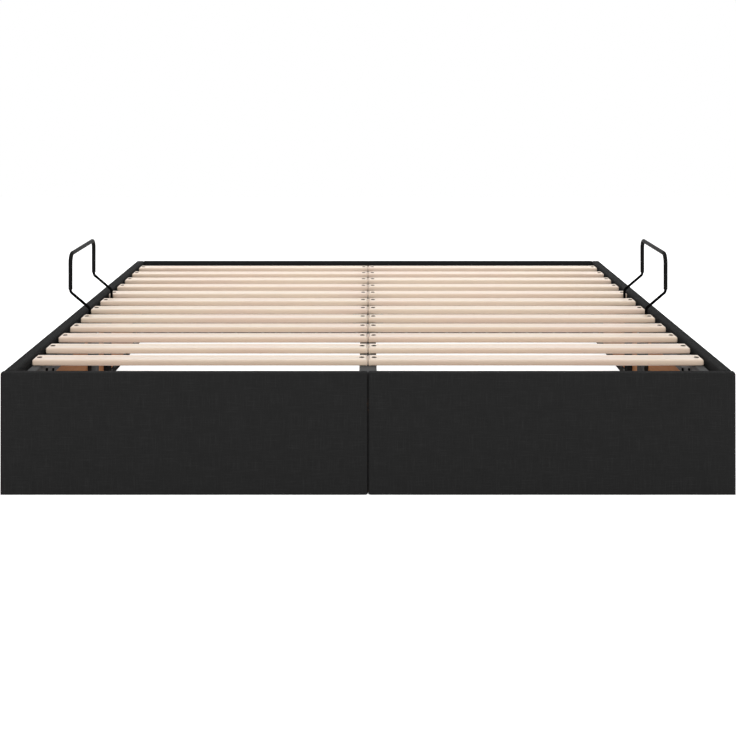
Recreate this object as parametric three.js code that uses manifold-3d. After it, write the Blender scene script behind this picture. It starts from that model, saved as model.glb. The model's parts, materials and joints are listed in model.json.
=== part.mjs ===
// Ottoman bed frame: an upholstered box with a slatted steel frame that lifts at the foot end.
// Millimetres. X to the right seen from the foot end, Y towards the head end, Z up.
// The origin is on the floor, under the middle of the bed.

import * as THREE from 'three';
import * as BufferGeometryUtils from 'three/addons/utils/BufferGeometryUtils.js';
import Module from 'manifold-3d';

const wasm = await Module();
wasm.setup();

// Box
const BED_WIDTH = 1830;
const BED_LENGTH = 2030;
const BOX_HEIGHT = 304;
const BOARD_THICKNESS = 30;
const REAR_THICKNESS = 16;
const BOARD_CORNER_RADIUS = 7;
const BOARD_EDGE_RADIUS = 5;
const SEAM_GAP = 0.3;
const BUTT_GAP = 0.3;

// Steel plates that hold the boards together
const BRACKET_LEG = 48;
const BRACKET_THICKNESS = 3;
const BRACKET_FOOT = 60;
const REAR_BRACKET_HEIGHT = 170;
const SEAM_PLATE_WIDTH = 120;
const SEAM_SHELF_DEPTH = 46;
const SCREW_HOLE_RADIUS = 3.5;
const SCREW_HOLE_INSET = 24;
const UPPER_SCREW_INSET = 38;
const CORNER_SCREW_REACH = 29;

// Rubber pads under the lifting frame
const PAD_RADIUS = 15;
const PAD_HEIGHT = 4;
const PAD_CHAMFER = 1;
const REST_GAP = 0.3;

// Lifting frame of rectangular steel tube
const FRAME_SIDE_GAP = 10;
const FRAME_FRONT_GAP = 15;
const FRAME_REAR_GAP = 29;
const TUBE_WIDTH = 25;
const TUBE_HEIGHT = 50;
const TUBE_WALL = 2;
const TUBE_CORNER_RADIUS = 3;
const BEAM_WIDTH = 45;
const BOLT_HOLE_RADIUS = 3.5;
const BOLT_HOLE_FROM_FRONT = 170;
const BOLT_HOLE_BELOW_TOP = 21.5;
const BOLT_HOLE_STEP_BACK = 75;
const BOLT_HOLE_STEP_DOWN = 16;

// Slats
const SLAT_ROWS = 12;
const SLAT_WIDTH = 64.5;
const SLAT_THICKNESS = 16;
const SLAT_DROP = 1;
const SLAT_FRONT_MARGIN = 116.5;
const SLAT_REAR_MARGIN = 84.5;
const SLAT_CENTRE_GAP = 3;
const SLAT_EDGE_RADIUS = 4;
const SLAT_CORNER_CLIP = 5;
const SLAT_OUTER_SCREW = 12.5;
const SLAT_INNER_SCREW = 14.5;
const SLAT_SCREW_RADIUS = 3;

// Mattress retainers
const RETAINER_ROWS = 2;
const RETAINER_LEG_CLEARANCE = 14.5;
const RETAINER_ROD_RADIUS = 3.5;
const RETAINER_LEG_INSET = 12;
const RETAINER_OUTSET = 48;
const RETAINER_LOW_BEND_RISE = 32;
const RETAINER_HIGH_BEND_RISE = 83;
const RETAINER_TOP_RISE = 199.5;
const RETAINER_DEPTH_IN_TUBE = 28;
const RETAINER_LOW_BEND_RADIUS = 14;
const RETAINER_TOP_BEND_RADIUS = 28;
const RETAINER_HOLE_GAP = 0.4;
const COLLAR_RADIUS = 8;
const COLLAR_HEIGHT = 3;
const SLEEVE_GAP = 0.3;
const SLEEVE_RADIUS = 5.2;
const SLEEVE_START_RISE = 90;

// Lift mechanism: hinge, fixed plate and gas strut on each side
const HINGE_FROM_FRAME_END = 113;
const HINGE_BELOW_TUBE_TOP = 18;
const STRUT_LEVER = 240;
const STRUT_SPREAD = THREE.MathUtils.degToRad(56);
const LIFT_ANGLE = THREE.MathUtils.degToRad(40);
const STRUT_STUD_BELOW_TUBE = 16;
const STRUT_PLANE_INSET = 17;
const LUG_THICKNESS = 4;
const LUG_RIM = 15;
const PLATE_THICKNESS = 4;
const PLATE_RIM = 22;
const PLATE_BAR_WIDTH = 40;
const PLATE_BAR_CLEARANCE = 8;
const PLATE_FLANGE_THICKNESS = 3;
const PLATE_FLANGE_END_GAP = 30;
const POST_FLANGE_DEPTH = 18;
const POST_FLANGE_GAP = 37;
const POST_FROM_CENTRE = 175;
const POST_FOOT = 36;
const HINGE_PIN_RADIUS = 6;
const HINGE_HEAD_RADIUS = 11;
const HINGE_HEAD_HEIGHT = 6;
const RUNNING_GAP = 0.3;
const STUD_RADIUS = 4;
const STUD_SHOULDER_RADIUS = 7;
const STUD_HEAD_RADIUS = 7;
const STUD_HEAD_HEIGHT = 3.5;
const EYE_RADIUS = 10;
const EYE_WIDTH = 12;
const CYLINDER_RADIUS = 11;
const CYLINDER_WALL = 1.6;
const CYLINDER_MOUTH_BACKSET = 28;
const CYLINDER_BASE = 24;
const CYLINDER_SHOULDER = 4;
const CYLINDER_ROLLED_EDGE = 1.5;
const GLAND_HEIGHT = 10;
const ROD_RADIUS = 5;
const PISTON_HEIGHT = 12;
const STRUT_END_PLAY = 6;
const EYE_NECK_LENGTH = 7;
const EYE_NECK_TAPER = 2;

// Channels that carry the side tubes at mid-length
const CHANNEL_FROM_CENTRE = -88;
const CHANNEL_WIDTH = 119;
const CHANNEL_DEPTH = 12;
const CHANNEL_WALL = 2.5;
const CHANNEL_FOOT = 40;

// How far a joined body or a cutting tool runs past the face that it meets
const OVERRUN = 1;

// Facets
const ROUND_SEGMENTS = 16;
const SMALL_SEGMENTS = 8;
const BEND_STEPS = 4;

// Places that follow from the sizes above
const halfWidth = BED_WIDTH / 2;
const halfLength = BED_LENGTH / 2;
const wellHalfWidth = halfWidth - BOARD_THICKNESS;
const wellFront = -halfLength + BOARD_THICKNESS;
const wellRear = halfLength - REAR_THICKNESS;
const tubeOuter = wellHalfWidth - FRAME_SIDE_GAP;
const tubeInner = tubeOuter - TUBE_WIDTH;
const frameFront = wellFront + FRAME_FRONT_GAP;
const frameRear = wellRear - FRAME_REAR_GAP;
const frameLength = frameRear - frameFront;
const tubeTop = BOX_HEIGHT - SLAT_DROP - SLAT_THICKNESS;
const tubeBottom = tubeTop - TUBE_HEIGHT;
const padTop = tubeBottom - REST_GAP;
const hinge = { y: frameRear - HINGE_FROM_FRAME_END, z: tubeTop - HINGE_BELOW_TUBE_TOP };
const upperStudDrop = hinge.z - (tubeBottom - STRUT_STUD_BELOW_TUBE);
const upperStudAngle = Math.asin(upperStudDrop / STRUT_LEVER);
const upperStud = leverPoint(upperStudAngle);
const lowerStud = leverPoint(upperStudAngle + STRUT_SPREAD);
const slatPitch = (frameLength - SLAT_FRONT_MARGIN - SLAT_REAR_MARGIN - SLAT_WIDTH) / (SLAT_ROWS - 1);
const firstSlat = frameFront + SLAT_FRONT_MARGIN + SLAT_WIDTH / 2;
const slatCentre = firstSlat + (SLAT_ROWS - 1) * slatPitch / 2;
const retainerSpan = (RETAINER_ROWS + 1) * slatPitch - SLAT_WIDTH - 2 * RETAINER_LEG_CLEARANCE;
const strutPlane = tubeOuter - STRUT_PLANE_INSET;
const strutShut = 2 * STRUT_LEVER * Math.sin(STRUT_SPREAD / 2);
const strutStroke = 2 * STRUT_LEVER * Math.sin((STRUT_SPREAD + LIFT_ANGLE) / 2) - strutShut;
const cylinderMouth = strutShut - CYLINDER_MOUTH_BACKSET;
const strutTilt = Math.atan2(upperStud.z - lowerStud.z, lowerStud.y - upperStud.y);
const plateInner = wellHalfWidth - PLATE_THICKNESS;

// Materials
const fabric = finish(0x2b2b2c, 0.95, 0);
const blackSteel = finish(0x1c1c1d, 0.45, 0.3);
const slatWood = finish(0xe6d3bf, 0.6, 0);
const rubber = finish(0x141414, 0.9, 0);
const vinyl = finish(0x101010, 0.5, 0);
const chrome = finish(0xb8bcc0, 0.15, 1);

function finish(color, roughness, metalness) {
  return () => new THREE.MeshStandardMaterial({ color, roughness, metalness });
}

// A point on the circle of the strut's two studs round the hinge, in front of it and below
function leverPoint(angle) {
  return { y: hinge.y - STRUT_LEVER * Math.cos(angle), z: hinge.z - STRUT_LEVER * Math.sin(angle) };
}

// Solids are joined and cut as manifolds, and go back to three.js as plain geometry

function toSolid(geometry) {
  const bare = geometry.clone();
  bare.deleteAttribute('normal');
  bare.deleteAttribute('uv');
  const merged = BufferGeometryUtils.mergeVertices(bare, 1e-4);
  return new wasm.Manifold(new wasm.Mesh({
    numProp: 3,
    vertProperties: new Float32Array(merged.attributes.position.array),
    triVerts: new Uint32Array(merged.index.array),
  }));
}

function toGeometry(solid) {
  const mesh = solid.getMesh();
  const geometry = new THREE.BufferGeometry();
  geometry.setAttribute('position', new THREE.BufferAttribute(mesh.vertProperties, 3));
  geometry.setIndex(new THREE.BufferAttribute(mesh.triVerts, 1));
  geometry.computeVertexNormals();
  return geometry;
}

function join(...geometries) {
  return toGeometry(geometries.map(toSolid).reduce((sum, solid) => sum.add(solid)));
}

function cut(geometry, ...tools) {
  return toGeometry(tools.map(toSolid).reduce((rest, tool) => rest.subtract(tool), toSolid(geometry)));
}

// The left-hand copy of a right-hand piece
function mirrored(geometry) {
  const copy = geometry.clone().applyMatrix4(new THREE.Matrix4().makeScale(-1, 1, 1));
  const count = copy.attributes.position.count;
  const index = copy.index ? Array.from(copy.index.array) : [...Array(count).keys()];
  for (let i = 0; i < index.length; i += 3) {
    [index[i + 1], index[i + 2]] = [index[i + 2], index[i + 1]];
  }
  copy.setIndex(index);
  copy.computeVertexNormals();
  return copy;
}

function rectangle(left, bottom, width, height) {
  return new THREE.Shape([
    new THREE.Vector2(left, bottom),
    new THREE.Vector2(left + width, bottom),
    new THREE.Vector2(left + width, bottom + height),
    new THREE.Vector2(left, bottom + height),
  ]);
}

function clippedRectangle(left, bottom, width, height, clip) {
  const right = left + width;
  const top = bottom + height;
  return new THREE.Shape([
    new THREE.Vector2(left + clip, bottom),
    new THREE.Vector2(right - clip, bottom),
    new THREE.Vector2(right, bottom + clip),
    new THREE.Vector2(right, top - clip),
    new THREE.Vector2(right - clip, top),
    new THREE.Vector2(left + clip, top),
    new THREE.Vector2(left, top - clip),
    new THREE.Vector2(left, bottom + clip),
  ]);
}

function roundedRectangle(left, bottom, width, height, radius) {
  const right = left + width;
  const top = bottom + height;
  const shape = new THREE.Shape();
  shape.moveTo(left + radius, bottom);
  shape.lineTo(right - radius, bottom);
  shape.absarc(right - radius, bottom + radius, radius, -Math.PI / 2, 0, false);
  shape.lineTo(right, top - radius);
  shape.absarc(right - radius, top - radius, radius, 0, Math.PI / 2, false);
  shape.lineTo(left + radius, top);
  shape.absarc(left + radius, top - radius, radius, Math.PI / 2, Math.PI, false);
  shape.lineTo(left, bottom + radius);
  shape.absarc(left + radius, bottom + radius, radius, Math.PI, 1.5 * Math.PI, false);
  return shape;
}

function roundHole(x, y, radius, segments) {
  const points = [];
  for (let i = 0; i < segments; i += 1) {
    const angle = -2 * Math.PI * i / segments;
    points.push(new THREE.Vector2(x + radius * Math.cos(angle), y + radius * Math.sin(angle)));
  }
  return new THREE.Path(points);
}

function extruded(shape, depth, curveSegments = 2) {
  return new THREE.ExtrudeGeometry(shape, { depth, bevelEnabled: false, curveSegments });
}

// A shape drawn in Y and Z, extruded towards +X from a given X
function extrudedAcross(shape, fromX, depth, curveSegments = 2) {
  const turn = new THREE.Matrix4().makeBasis(
    new THREE.Vector3(0, 1, 0), new THREE.Vector3(0, 0, 1), new THREE.Vector3(1, 0, 0));
  return extruded(shape, depth, curveSegments).applyMatrix4(turn).translate(fromX, 0, 0);
}

// A shape drawn in X and Z, extruded along Y between two places
function extrudedAlong(shape, fromY, toY, curveSegments = 2) {
  return extruded(shape, toY - fromY, curveSegments).rotateX(Math.PI / 2).translate(0, toY, 0);
}

function cylinderAcross(radius, fromX, toX, y, z, segments = ROUND_SEGMENTS) {
  const length = toX - fromX;
  return new THREE.CylinderGeometry(radius, radius, length, segments)
    .rotateZ(-Math.PI / 2)
    .translate(fromX + length / 2, y, z);
}

function cylinderAlong(radius, fromY, toY, x, z, segments = SMALL_SEGMENTS) {
  const length = toY - fromY;
  return new THREE.CylinderGeometry(radius, radius, length, segments).translate(x, fromY + length / 2, z);
}

function cylinderUp(radius, fromZ, toZ, x, y, segments = SMALL_SEGMENTS) {
  const length = toZ - fromZ;
  return new THREE.CylinderGeometry(radius, radius, length, segments)
    .rotateX(Math.PI / 2)
    .translate(x, y, fromZ + length / 2);
}

function piece(name, geometry, material) {
  const mesh = new THREE.Mesh(geometry, material);
  mesh.name = name;
  return mesh;
}

function addBothSides(group, name, geometry, material) {
  group.add(piece(`${name}_right`, geometry, material()));
  group.add(piece(`${name}_left`, mirrored(geometry), material()));
}

// Upholstered boards: fabric pulled over a wooden board, so every edge and corner is round

function upholsteredBoard(width, height, thickness) {
  const shape = roundedRectangle(-width / 2, 0, width, height, BOARD_CORNER_RADIUS);
  const edge = Math.min(BOARD_EDGE_RADIUS, thickness / 2 - 1);
  return new THREE.ExtrudeGeometry(shape, {
    depth: thickness - 2 * edge,
    bevelEnabled: true,
    bevelThickness: edge,
    bevelSize: edge,
    bevelOffset: -edge,
    bevelSegments: 2,
    curveSegments: 2,
  }).rotateX(Math.PI / 2).translate(0, thickness - edge, 0);
}

function makeBoards() {
  const group = new THREE.Group();
  const frontWidth = halfWidth - SEAM_GAP / 2;
  const rearWidth = wellHalfWidth - BUTT_GAP - SEAM_GAP / 2;
  const sideLength = halfLength - (wellFront + BUTT_GAP);
  const frontPanel = upholsteredBoard(frontWidth, BOX_HEIGHT, BOARD_THICKNESS);
  const rearPanel = upholsteredBoard(rearWidth, BOX_HEIGHT, REAR_THICKNESS);
  const sideBoard = upholsteredBoard(sideLength, BOX_HEIGHT, BOARD_THICKNESS).rotateZ(Math.PI / 2);
  for (const [side, sign] of [['right', 1], ['left', -1]]) {
    const front = piece(`front_panel_${side}`, frontPanel, fabric());
    front.position.set(sign * (frontWidth + SEAM_GAP) / 2, -halfLength, 0);
    const rear = piece(`rear_panel_${side}`, rearPanel, fabric());
    rear.position.set(sign * (rearWidth + SEAM_GAP) / 2, wellRear, 0);
    const board = piece(`side_board_${side}`, sideBoard, fabric());
    board.position.set(sign > 0 ? halfWidth : -wellHalfWidth, halfLength - sideLength / 2, 0);
    group.add(front, rear, board);
  }
  return group;
}

// Steel angles in the four corners, and a flat plate behind each seam

function cornerBracket(endY, inward, top, withShelf) {
  const outline = new THREE.Shape([
    new THREE.Vector2(wellHalfWidth, 0),
    new THREE.Vector2(wellHalfWidth, BRACKET_LEG),
    new THREE.Vector2(wellHalfWidth - BRACKET_THICKNESS, BRACKET_LEG),
    new THREE.Vector2(wellHalfWidth - BRACKET_THICKNESS, BRACKET_THICKNESS),
    new THREE.Vector2(wellHalfWidth - BRACKET_LEG, BRACKET_THICKNESS),
    new THREE.Vector2(wellHalfWidth - BRACKET_LEG, 0),
  ]);
  const angle = extruded(outline, top - BRACKET_FOOT).translate(0, 0, BRACKET_FOOT);
  const holes = [];
  for (const z of [BRACKET_FOOT + SCREW_HOLE_INSET, top - UPPER_SCREW_INSET]) {
    holes.push(cylinderAcross(SCREW_HOLE_RADIUS, wellHalfWidth - 2 * BRACKET_THICKNESS,
      wellHalfWidth + BRACKET_THICKNESS, CORNER_SCREW_REACH, z, SMALL_SEGMENTS));
    holes.push(cylinderAlong(SCREW_HOLE_RADIUS, -BRACKET_THICKNESS, 2 * BRACKET_THICKNESS,
      wellHalfWidth - CORNER_SCREW_REACH, z));
  }
  let bracket = cut(angle, ...holes);
  if (withShelf) {
    const shelf = roundedRectangle(wellHalfWidth - BRACKET_LEG, 0, BRACKET_LEG, BRACKET_LEG,
      BRACKET_THICKNESS);
    bracket = join(bracket, extruded(shelf, BRACKET_THICKNESS).translate(0, 0, top - BRACKET_THICKNESS));
  }
  if (inward < 0) {
    bracket = mirrored(bracket.rotateZ(Math.PI));
  }
  return bracket.translate(0, endY, 0);
}

function makeBrackets() {
  const group = new THREE.Group();
  const shelfTop = padTop - PAD_HEIGHT;
  addBothSides(group, 'corner_bracket_front', cornerBracket(wellFront, 1, shelfTop, true), blackSteel);
  const rearTop = BRACKET_FOOT + REAR_BRACKET_HEIGHT;
  addBothSides(group, 'corner_bracket_rear', cornerBracket(wellRear, -1, rearTop, false), blackSteel);
  group.add(piece('seam_bracket_front', seamBracket(wellFront, 1, shelfTop, true), blackSteel()));
  group.add(piece('seam_plate_rear', seamBracket(wellRear, -1, rearTop, false), blackSteel()));
  return group;
}

function seamBracket(faceY, inward, top, withShelf) {
  const outline = roundedRectangle(-SEAM_PLATE_WIDTH / 2, BRACKET_FOOT, SEAM_PLATE_WIDTH,
    top - BRACKET_FOOT, BRACKET_THICKNESS);
  const nearY = inward > 0 ? faceY : faceY - BRACKET_THICKNESS;
  const plate = extrudedAlong(outline, nearY, nearY + BRACKET_THICKNESS);
  const holes = [];
  for (const sign of [-1, 1]) {
    for (const z of [BRACKET_FOOT + SCREW_HOLE_INSET, top - UPPER_SCREW_INSET]) {
      holes.push(cylinderAlong(SCREW_HOLE_RADIUS, nearY - BRACKET_THICKNESS, nearY + 2 * BRACKET_THICKNESS,
        sign * (SEAM_PLATE_WIDTH / 2 - SCREW_HOLE_INSET), z));
    }
  }
  const drilled = cut(plate, ...holes);
  if (!withShelf) {
    return drilled;
  }
  const shelf = roundedRectangle(-SEAM_PLATE_WIDTH / 2, nearY, SEAM_PLATE_WIDTH, SEAM_SHELF_DEPTH,
    BRACKET_THICKNESS);
  return join(drilled, extruded(shelf, BRACKET_THICKNESS).translate(0, 0, top - BRACKET_THICKNESS));
}

// Rubber pads on the shelves, for the front of the lifting frame to come down on

function restPad(x, y) {
  const profile = [[0, 0], [PAD_RADIUS, 0], [PAD_RADIUS, PAD_HEIGHT - PAD_CHAMFER],
    [PAD_RADIUS - PAD_CHAMFER, PAD_HEIGHT], [0, PAD_HEIGHT]];
  return new THREE.LatheGeometry(profile.map(([r, z]) => new THREE.Vector2(r, z)), ROUND_SEGMENTS)
    .rotateX(Math.PI / 2)
    .translate(x, y, padTop - PAD_HEIGHT);
}

function makePads() {
  const group = new THREE.Group();
  const padX = (tubeOuter + tubeInner) / 2;
  const padY = frameFront + TUBE_WIDTH / 2;
  addBothSides(group, 'rest_pad', restPad(padX, padY), rubber);
  group.add(piece('rest_pad_centre', restPad(0, padY), rubber()));
  return group;
}

// Upright channels on the side boards, under the side tubes at mid-length

function makeSupportChannels() {
  const inner = wellHalfWidth - CHANNEL_DEPTH;
  const rearY = CHANNEL_FROM_CENTRE + CHANNEL_WIDTH;
  const section = new THREE.Shape([
    new THREE.Vector2(wellHalfWidth, CHANNEL_FROM_CENTRE),
    new THREE.Vector2(wellHalfWidth, CHANNEL_FROM_CENTRE + CHANNEL_WALL),
    new THREE.Vector2(inner + CHANNEL_WALL, CHANNEL_FROM_CENTRE + CHANNEL_WALL),
    new THREE.Vector2(inner + CHANNEL_WALL, rearY - CHANNEL_WALL),
    new THREE.Vector2(wellHalfWidth, rearY - CHANNEL_WALL),
    new THREE.Vector2(wellHalfWidth, rearY),
    new THREE.Vector2(inner, rearY),
    new THREE.Vector2(inner, CHANNEL_FROM_CENTRE),
  ]);
  const channel = extruded(section, padTop - CHANNEL_FOOT).translate(0, 0, CHANNEL_FOOT);
  const holes = [];
  for (const y of [CHANNEL_FROM_CENTRE + SCREW_HOLE_INSET, rearY - SCREW_HOLE_INSET]) {
    for (const z of [CHANNEL_FOOT + SCREW_HOLE_INSET, padTop - SCREW_HOLE_INSET]) {
      holes.push(cylinderAcross(SCREW_HOLE_RADIUS, inner - OVERRUN, inner + CHANNEL_WALL + OVERRUN, y, z,
        SMALL_SEGMENTS));
    }
  }
  const group = new THREE.Group();
  addBothSides(group, 'support_channel', cut(channel, ...holes), blackSteel);
  return group;
}

// Lifting frame: rectangular tube, open at its ends

function tubeSection(left, width) {
  const shape = roundedRectangle(left, tubeBottom, width, TUBE_HEIGHT, TUBE_CORNER_RADIUS);
  shape.holes.push(rectangle(left + TUBE_WALL, tubeBottom + TUBE_WALL,
    width - 2 * TUBE_WALL, TUBE_HEIGHT - 2 * TUBE_WALL));
  return shape;
}

function hingeLug() {
  const bottom = upperStud.z - LUG_RIM;
  const weldBottom = tubeBottom + TUBE_WALL;
  const shape = new THREE.Shape();
  shape.moveTo(upperStud.y - LUG_RIM, upperStud.z);
  shape.absarc(upperStud.y, upperStud.z, LUG_RIM, Math.PI, 1.5 * Math.PI, false);
  shape.lineTo(upperStud.y + LUG_RIM, bottom);
  shape.lineTo(upperStud.y + 3 * LUG_RIM, weldBottom);
  shape.lineTo(hinge.y + LUG_RIM, weldBottom);
  shape.absarc(hinge.y, hinge.z, LUG_RIM, 0, Math.PI / 2, false);
  shape.lineTo(upperStud.y - LUG_RIM, hinge.z + LUG_RIM);
  return extrudedAcross(shape, tubeOuter - OVERRUN, LUG_THICKNESS + OVERRUN, 3);
}

// A stud along X from its plate to a little past the strut's eye, with a shoulder and a head
function strutStud(place, plateX) {
  const eyeOuter = strutPlane + EYE_WIDTH / 2 + RUNNING_GAP;
  const eyeInner = strutPlane - EYE_WIDTH / 2 - RUNNING_GAP;
  return [
    cylinderAcross(STUD_SHOULDER_RADIUS, eyeOuter, plateX, place.y, place.z),
    cylinderAcross(STUD_RADIUS, eyeInner - OVERRUN, eyeOuter + OVERRUN, place.y, place.z),
    cylinderAcross(STUD_HEAD_RADIUS, eyeInner - STUD_HEAD_HEIGHT, eyeInner, place.y, place.z),
  ];
}

function sideTube() {
  const tube = extrudedAlong(tubeSection(tubeInner, TUBE_WIDTH), frameFront, frameRear);
  const withLug = join(tube, hingeLug(), ...strutStud(upperStud, tubeOuter + LUG_THICKNESS / 2));
  const holes = [
    cylinderAcross(HINGE_PIN_RADIUS + RUNNING_GAP, tubeInner - OVERRUN, tubeOuter + LUG_THICKNESS + OVERRUN,
      hinge.y, hinge.z),
  ];
  for (const step of [0, 1]) {
    holes.push(cylinderAcross(BOLT_HOLE_RADIUS, tubeInner - OVERRUN, tubeInner + TUBE_WALL + OVERRUN,
      frameFront + BOLT_HOLE_FROM_FRONT + step * BOLT_HOLE_STEP_BACK,
      tubeTop - BOLT_HOLE_BELOW_TOP - step * BOLT_HOLE_STEP_DOWN, SMALL_SEGMENTS));
  }
  for (const sign of [-1, 1]) {
    holes.push(cylinderUp(RETAINER_ROD_RADIUS + RETAINER_HOLE_GAP,
      tubeTop - TUBE_WALL - OVERRUN, tubeTop + OVERRUN,
      tubeOuter - RETAINER_LEG_INSET, slatCentre + sign * retainerSpan / 2));
  }
  return cut(withLug, ...holes);
}

function crossTube(nearY) {
  const length = 2 * tubeInner;
  const shape = roundedRectangle(nearY, tubeBottom, TUBE_WIDTH, TUBE_HEIGHT, TUBE_CORNER_RADIUS);
  shape.holes.push(rectangle(nearY + TUBE_WALL, tubeBottom + TUBE_WALL,
    TUBE_WIDTH - 2 * TUBE_WALL, TUBE_HEIGHT - 2 * TUBE_WALL));
  return extrudedAcross(shape, -length / 2, length);
}

function makeTubes() {
  const group = new THREE.Group();
  addBothSides(group, 'side_tube', sideTube(), blackSteel);
  group.add(piece('cross_tube_front', crossTube(frameFront), blackSteel()));
  group.add(piece('cross_tube_rear', crossTube(frameRear - TUBE_WIDTH), blackSteel()));
  const beam = extrudedAlong(tubeSection(-BEAM_WIDTH / 2, BEAM_WIDTH),
    frameFront + TUBE_WIDTH, frameRear - TUBE_WIDTH);
  group.add(piece('centre_beam', beam, blackSteel()));
  return group;
}

// Slats: planed softwood with eased edges, screwed down at both ends

function slatGeometry(length) {
  const shape = clippedRectangle(0, -SLAT_WIDTH / 2, length, SLAT_WIDTH, SLAT_CORNER_CLIP);
  for (const x of [SLAT_INNER_SCREW, length - SLAT_OUTER_SCREW]) {
    shape.holes.push(roundHole(x, 0, SLAT_SCREW_RADIUS, SMALL_SEGMENTS));
  }
  return new THREE.ExtrudeGeometry(shape, {
    depth: SLAT_THICKNESS - 2 * SLAT_EDGE_RADIUS,
    bevelEnabled: true,
    bevelThickness: SLAT_EDGE_RADIUS,
    bevelSize: SLAT_EDGE_RADIUS,
    bevelOffset: -SLAT_EDGE_RADIUS,
    bevelSegments: 1,
  }).translate(0, 0, SLAT_EDGE_RADIUS);
}

function makeSlats() {
  const group = new THREE.Group();
  const slat = slatGeometry(tubeOuter - SLAT_CENTRE_GAP / 2);
  for (let row = 0; row < SLAT_ROWS; row += 1) {
    const y = firstSlat + row * slatPitch;
    const number = String(row + 1).padStart(2, '0');
    const right = piece(`slat_right_${number}`, slat, slatWood());
    right.position.set(SLAT_CENTRE_GAP / 2, y, tubeTop);
    const left = piece(`slat_left_${number}`, slat, slatWood());
    left.position.set(-SLAT_CENTRE_GAP / 2, y, tubeTop);
    left.rotation.z = Math.PI;
    group.add(right, left);
  }
  return group;
}

// A path with one ring at each listed station, so that straight runs need no rings in between
class StationPath extends THREE.Curve {
  constructor(points, tangents) {
    super();
    this.points = points;
    this.tangents = tangents;
  }

  getUtoTmapping(u) {
    return u;
  }

  getPoint(t, target = new THREE.Vector3()) {
    return target.copy(this.points[Math.round(t * (this.points.length - 1))]);
  }

  getTangent(t, target = new THREE.Vector3()) {
    return target.copy(this.tangents[Math.round(t * (this.tangents.length - 1))]);
  }
}

// Straight runs between corners, each corner rounded by an arc of its own radius
function bentPath(corners, radii) {
  const points = [corners[0]];
  const tangents = [corners[1].clone().sub(corners[0]).normalize()];
  for (let i = 1; i < corners.length - 1; i += 1) {
    const into = corners[i].clone().sub(corners[i - 1]).normalize();
    const out = corners[i + 1].clone().sub(corners[i]).normalize();
    const turn = into.angleTo(out);
    const reach = radii[i - 1] * Math.tan(turn / 2);
    const start = corners[i].clone().addScaledVector(into, -reach);
    const side = out.clone().addScaledVector(into, -out.dot(into)).normalize();
    const centre = start.clone().addScaledVector(side, radii[i - 1]);
    const steps = Math.max(2, Math.round(BEND_STEPS * turn / (Math.PI / 3)));
    for (let step = 0; step <= steps; step += 1) {
      const angle = turn * step / steps;
      const radial = side.clone().multiplyScalar(-Math.cos(angle)).addScaledVector(into, Math.sin(angle));
      points.push(centre.clone().addScaledVector(radial, radii[i - 1]));
      tangents.push(side.clone().multiplyScalar(Math.sin(angle)).addScaledVector(into, Math.cos(angle)));
    }
  }
  points.push(corners.at(-1));
  tangents.push(corners.at(-1).clone().sub(corners.at(-2)).normalize());
  return new StationPath(points, tangents);
}

function bentTube(path, outerRadius, innerRadius = 0) {
  const shape = new THREE.Shape();
  shape.absarc(0, 0, outerRadius, 0, 2 * Math.PI, false);
  if (innerRadius > 0) {
    shape.holes.push(roundHole(0, 0, innerRadius, SMALL_SEGMENTS));
  }
  return new THREE.ExtrudeGeometry(shape, {
    steps: path.points.length - 1,
    curveSegments: SMALL_SEGMENTS / 2,
    bevelEnabled: false,
    extrudePath: path,
  });
}

// Mattress retainer: one bent steel rod, with a soft sleeve on its upper U

function retainerCorners(lowRise) {
  const legX = tubeOuter - RETAINER_LEG_INSET;
  const barX = tubeOuter + RETAINER_OUTSET;
  const nearY = slatCentre - retainerSpan / 2;
  const farY = slatCentre + retainerSpan / 2;
  const rise = (x, y, z) => new THREE.Vector3(x, y, tubeTop + z);
  const near = [
    rise(legX, nearY, lowRise), rise(legX, nearY, RETAINER_LOW_BEND_RISE),
    rise(barX, nearY, RETAINER_HIGH_BEND_RISE), rise(barX, nearY, RETAINER_TOP_RISE),
  ];
  return [...near, ...near.map((p) => new THREE.Vector3(p.x, farY, p.z)).reverse()];
}

function makeRetainers() {
  const group = new THREE.Group();
  const corners = retainerCorners(-RETAINER_DEPTH_IN_TUBE);
  const low = RETAINER_LOW_BEND_RADIUS;
  const top = RETAINER_TOP_BEND_RADIUS;
  const rod = bentTube(bentPath(corners, [low, low, top, top, low, low]), RETAINER_ROD_RADIUS);
  const collars = [corners[0], corners.at(-1)].map((foot) => (
    cylinderUp(COLLAR_RADIUS, tubeTop, tubeTop + COLLAR_HEIGHT, foot.x, foot.y)));
  addBothSides(group, 'retainer_rod', join(rod, ...collars), blackSteel);
  const upper = corners.slice(2, 6);
  upper[0] = new THREE.Vector3(upper[0].x, upper[0].y, tubeTop + SLEEVE_START_RISE);
  const sleeveCorners = [upper[0], upper[1], upper[2],
    new THREE.Vector3(upper[0].x, upper[3].y, upper[0].z)];
  const sleeve = bentTube(bentPath(sleeveCorners, [top, top]), SLEEVE_RADIUS,
    RETAINER_ROD_RADIUS + SLEEVE_GAP);
  addBothSides(group, 'retainer_sleeve', sleeve, vinyl);
  return group;
}

// Fixed plate of the lift mechanism: a post, a bar and a hinge plate in one pressed piece

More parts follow.
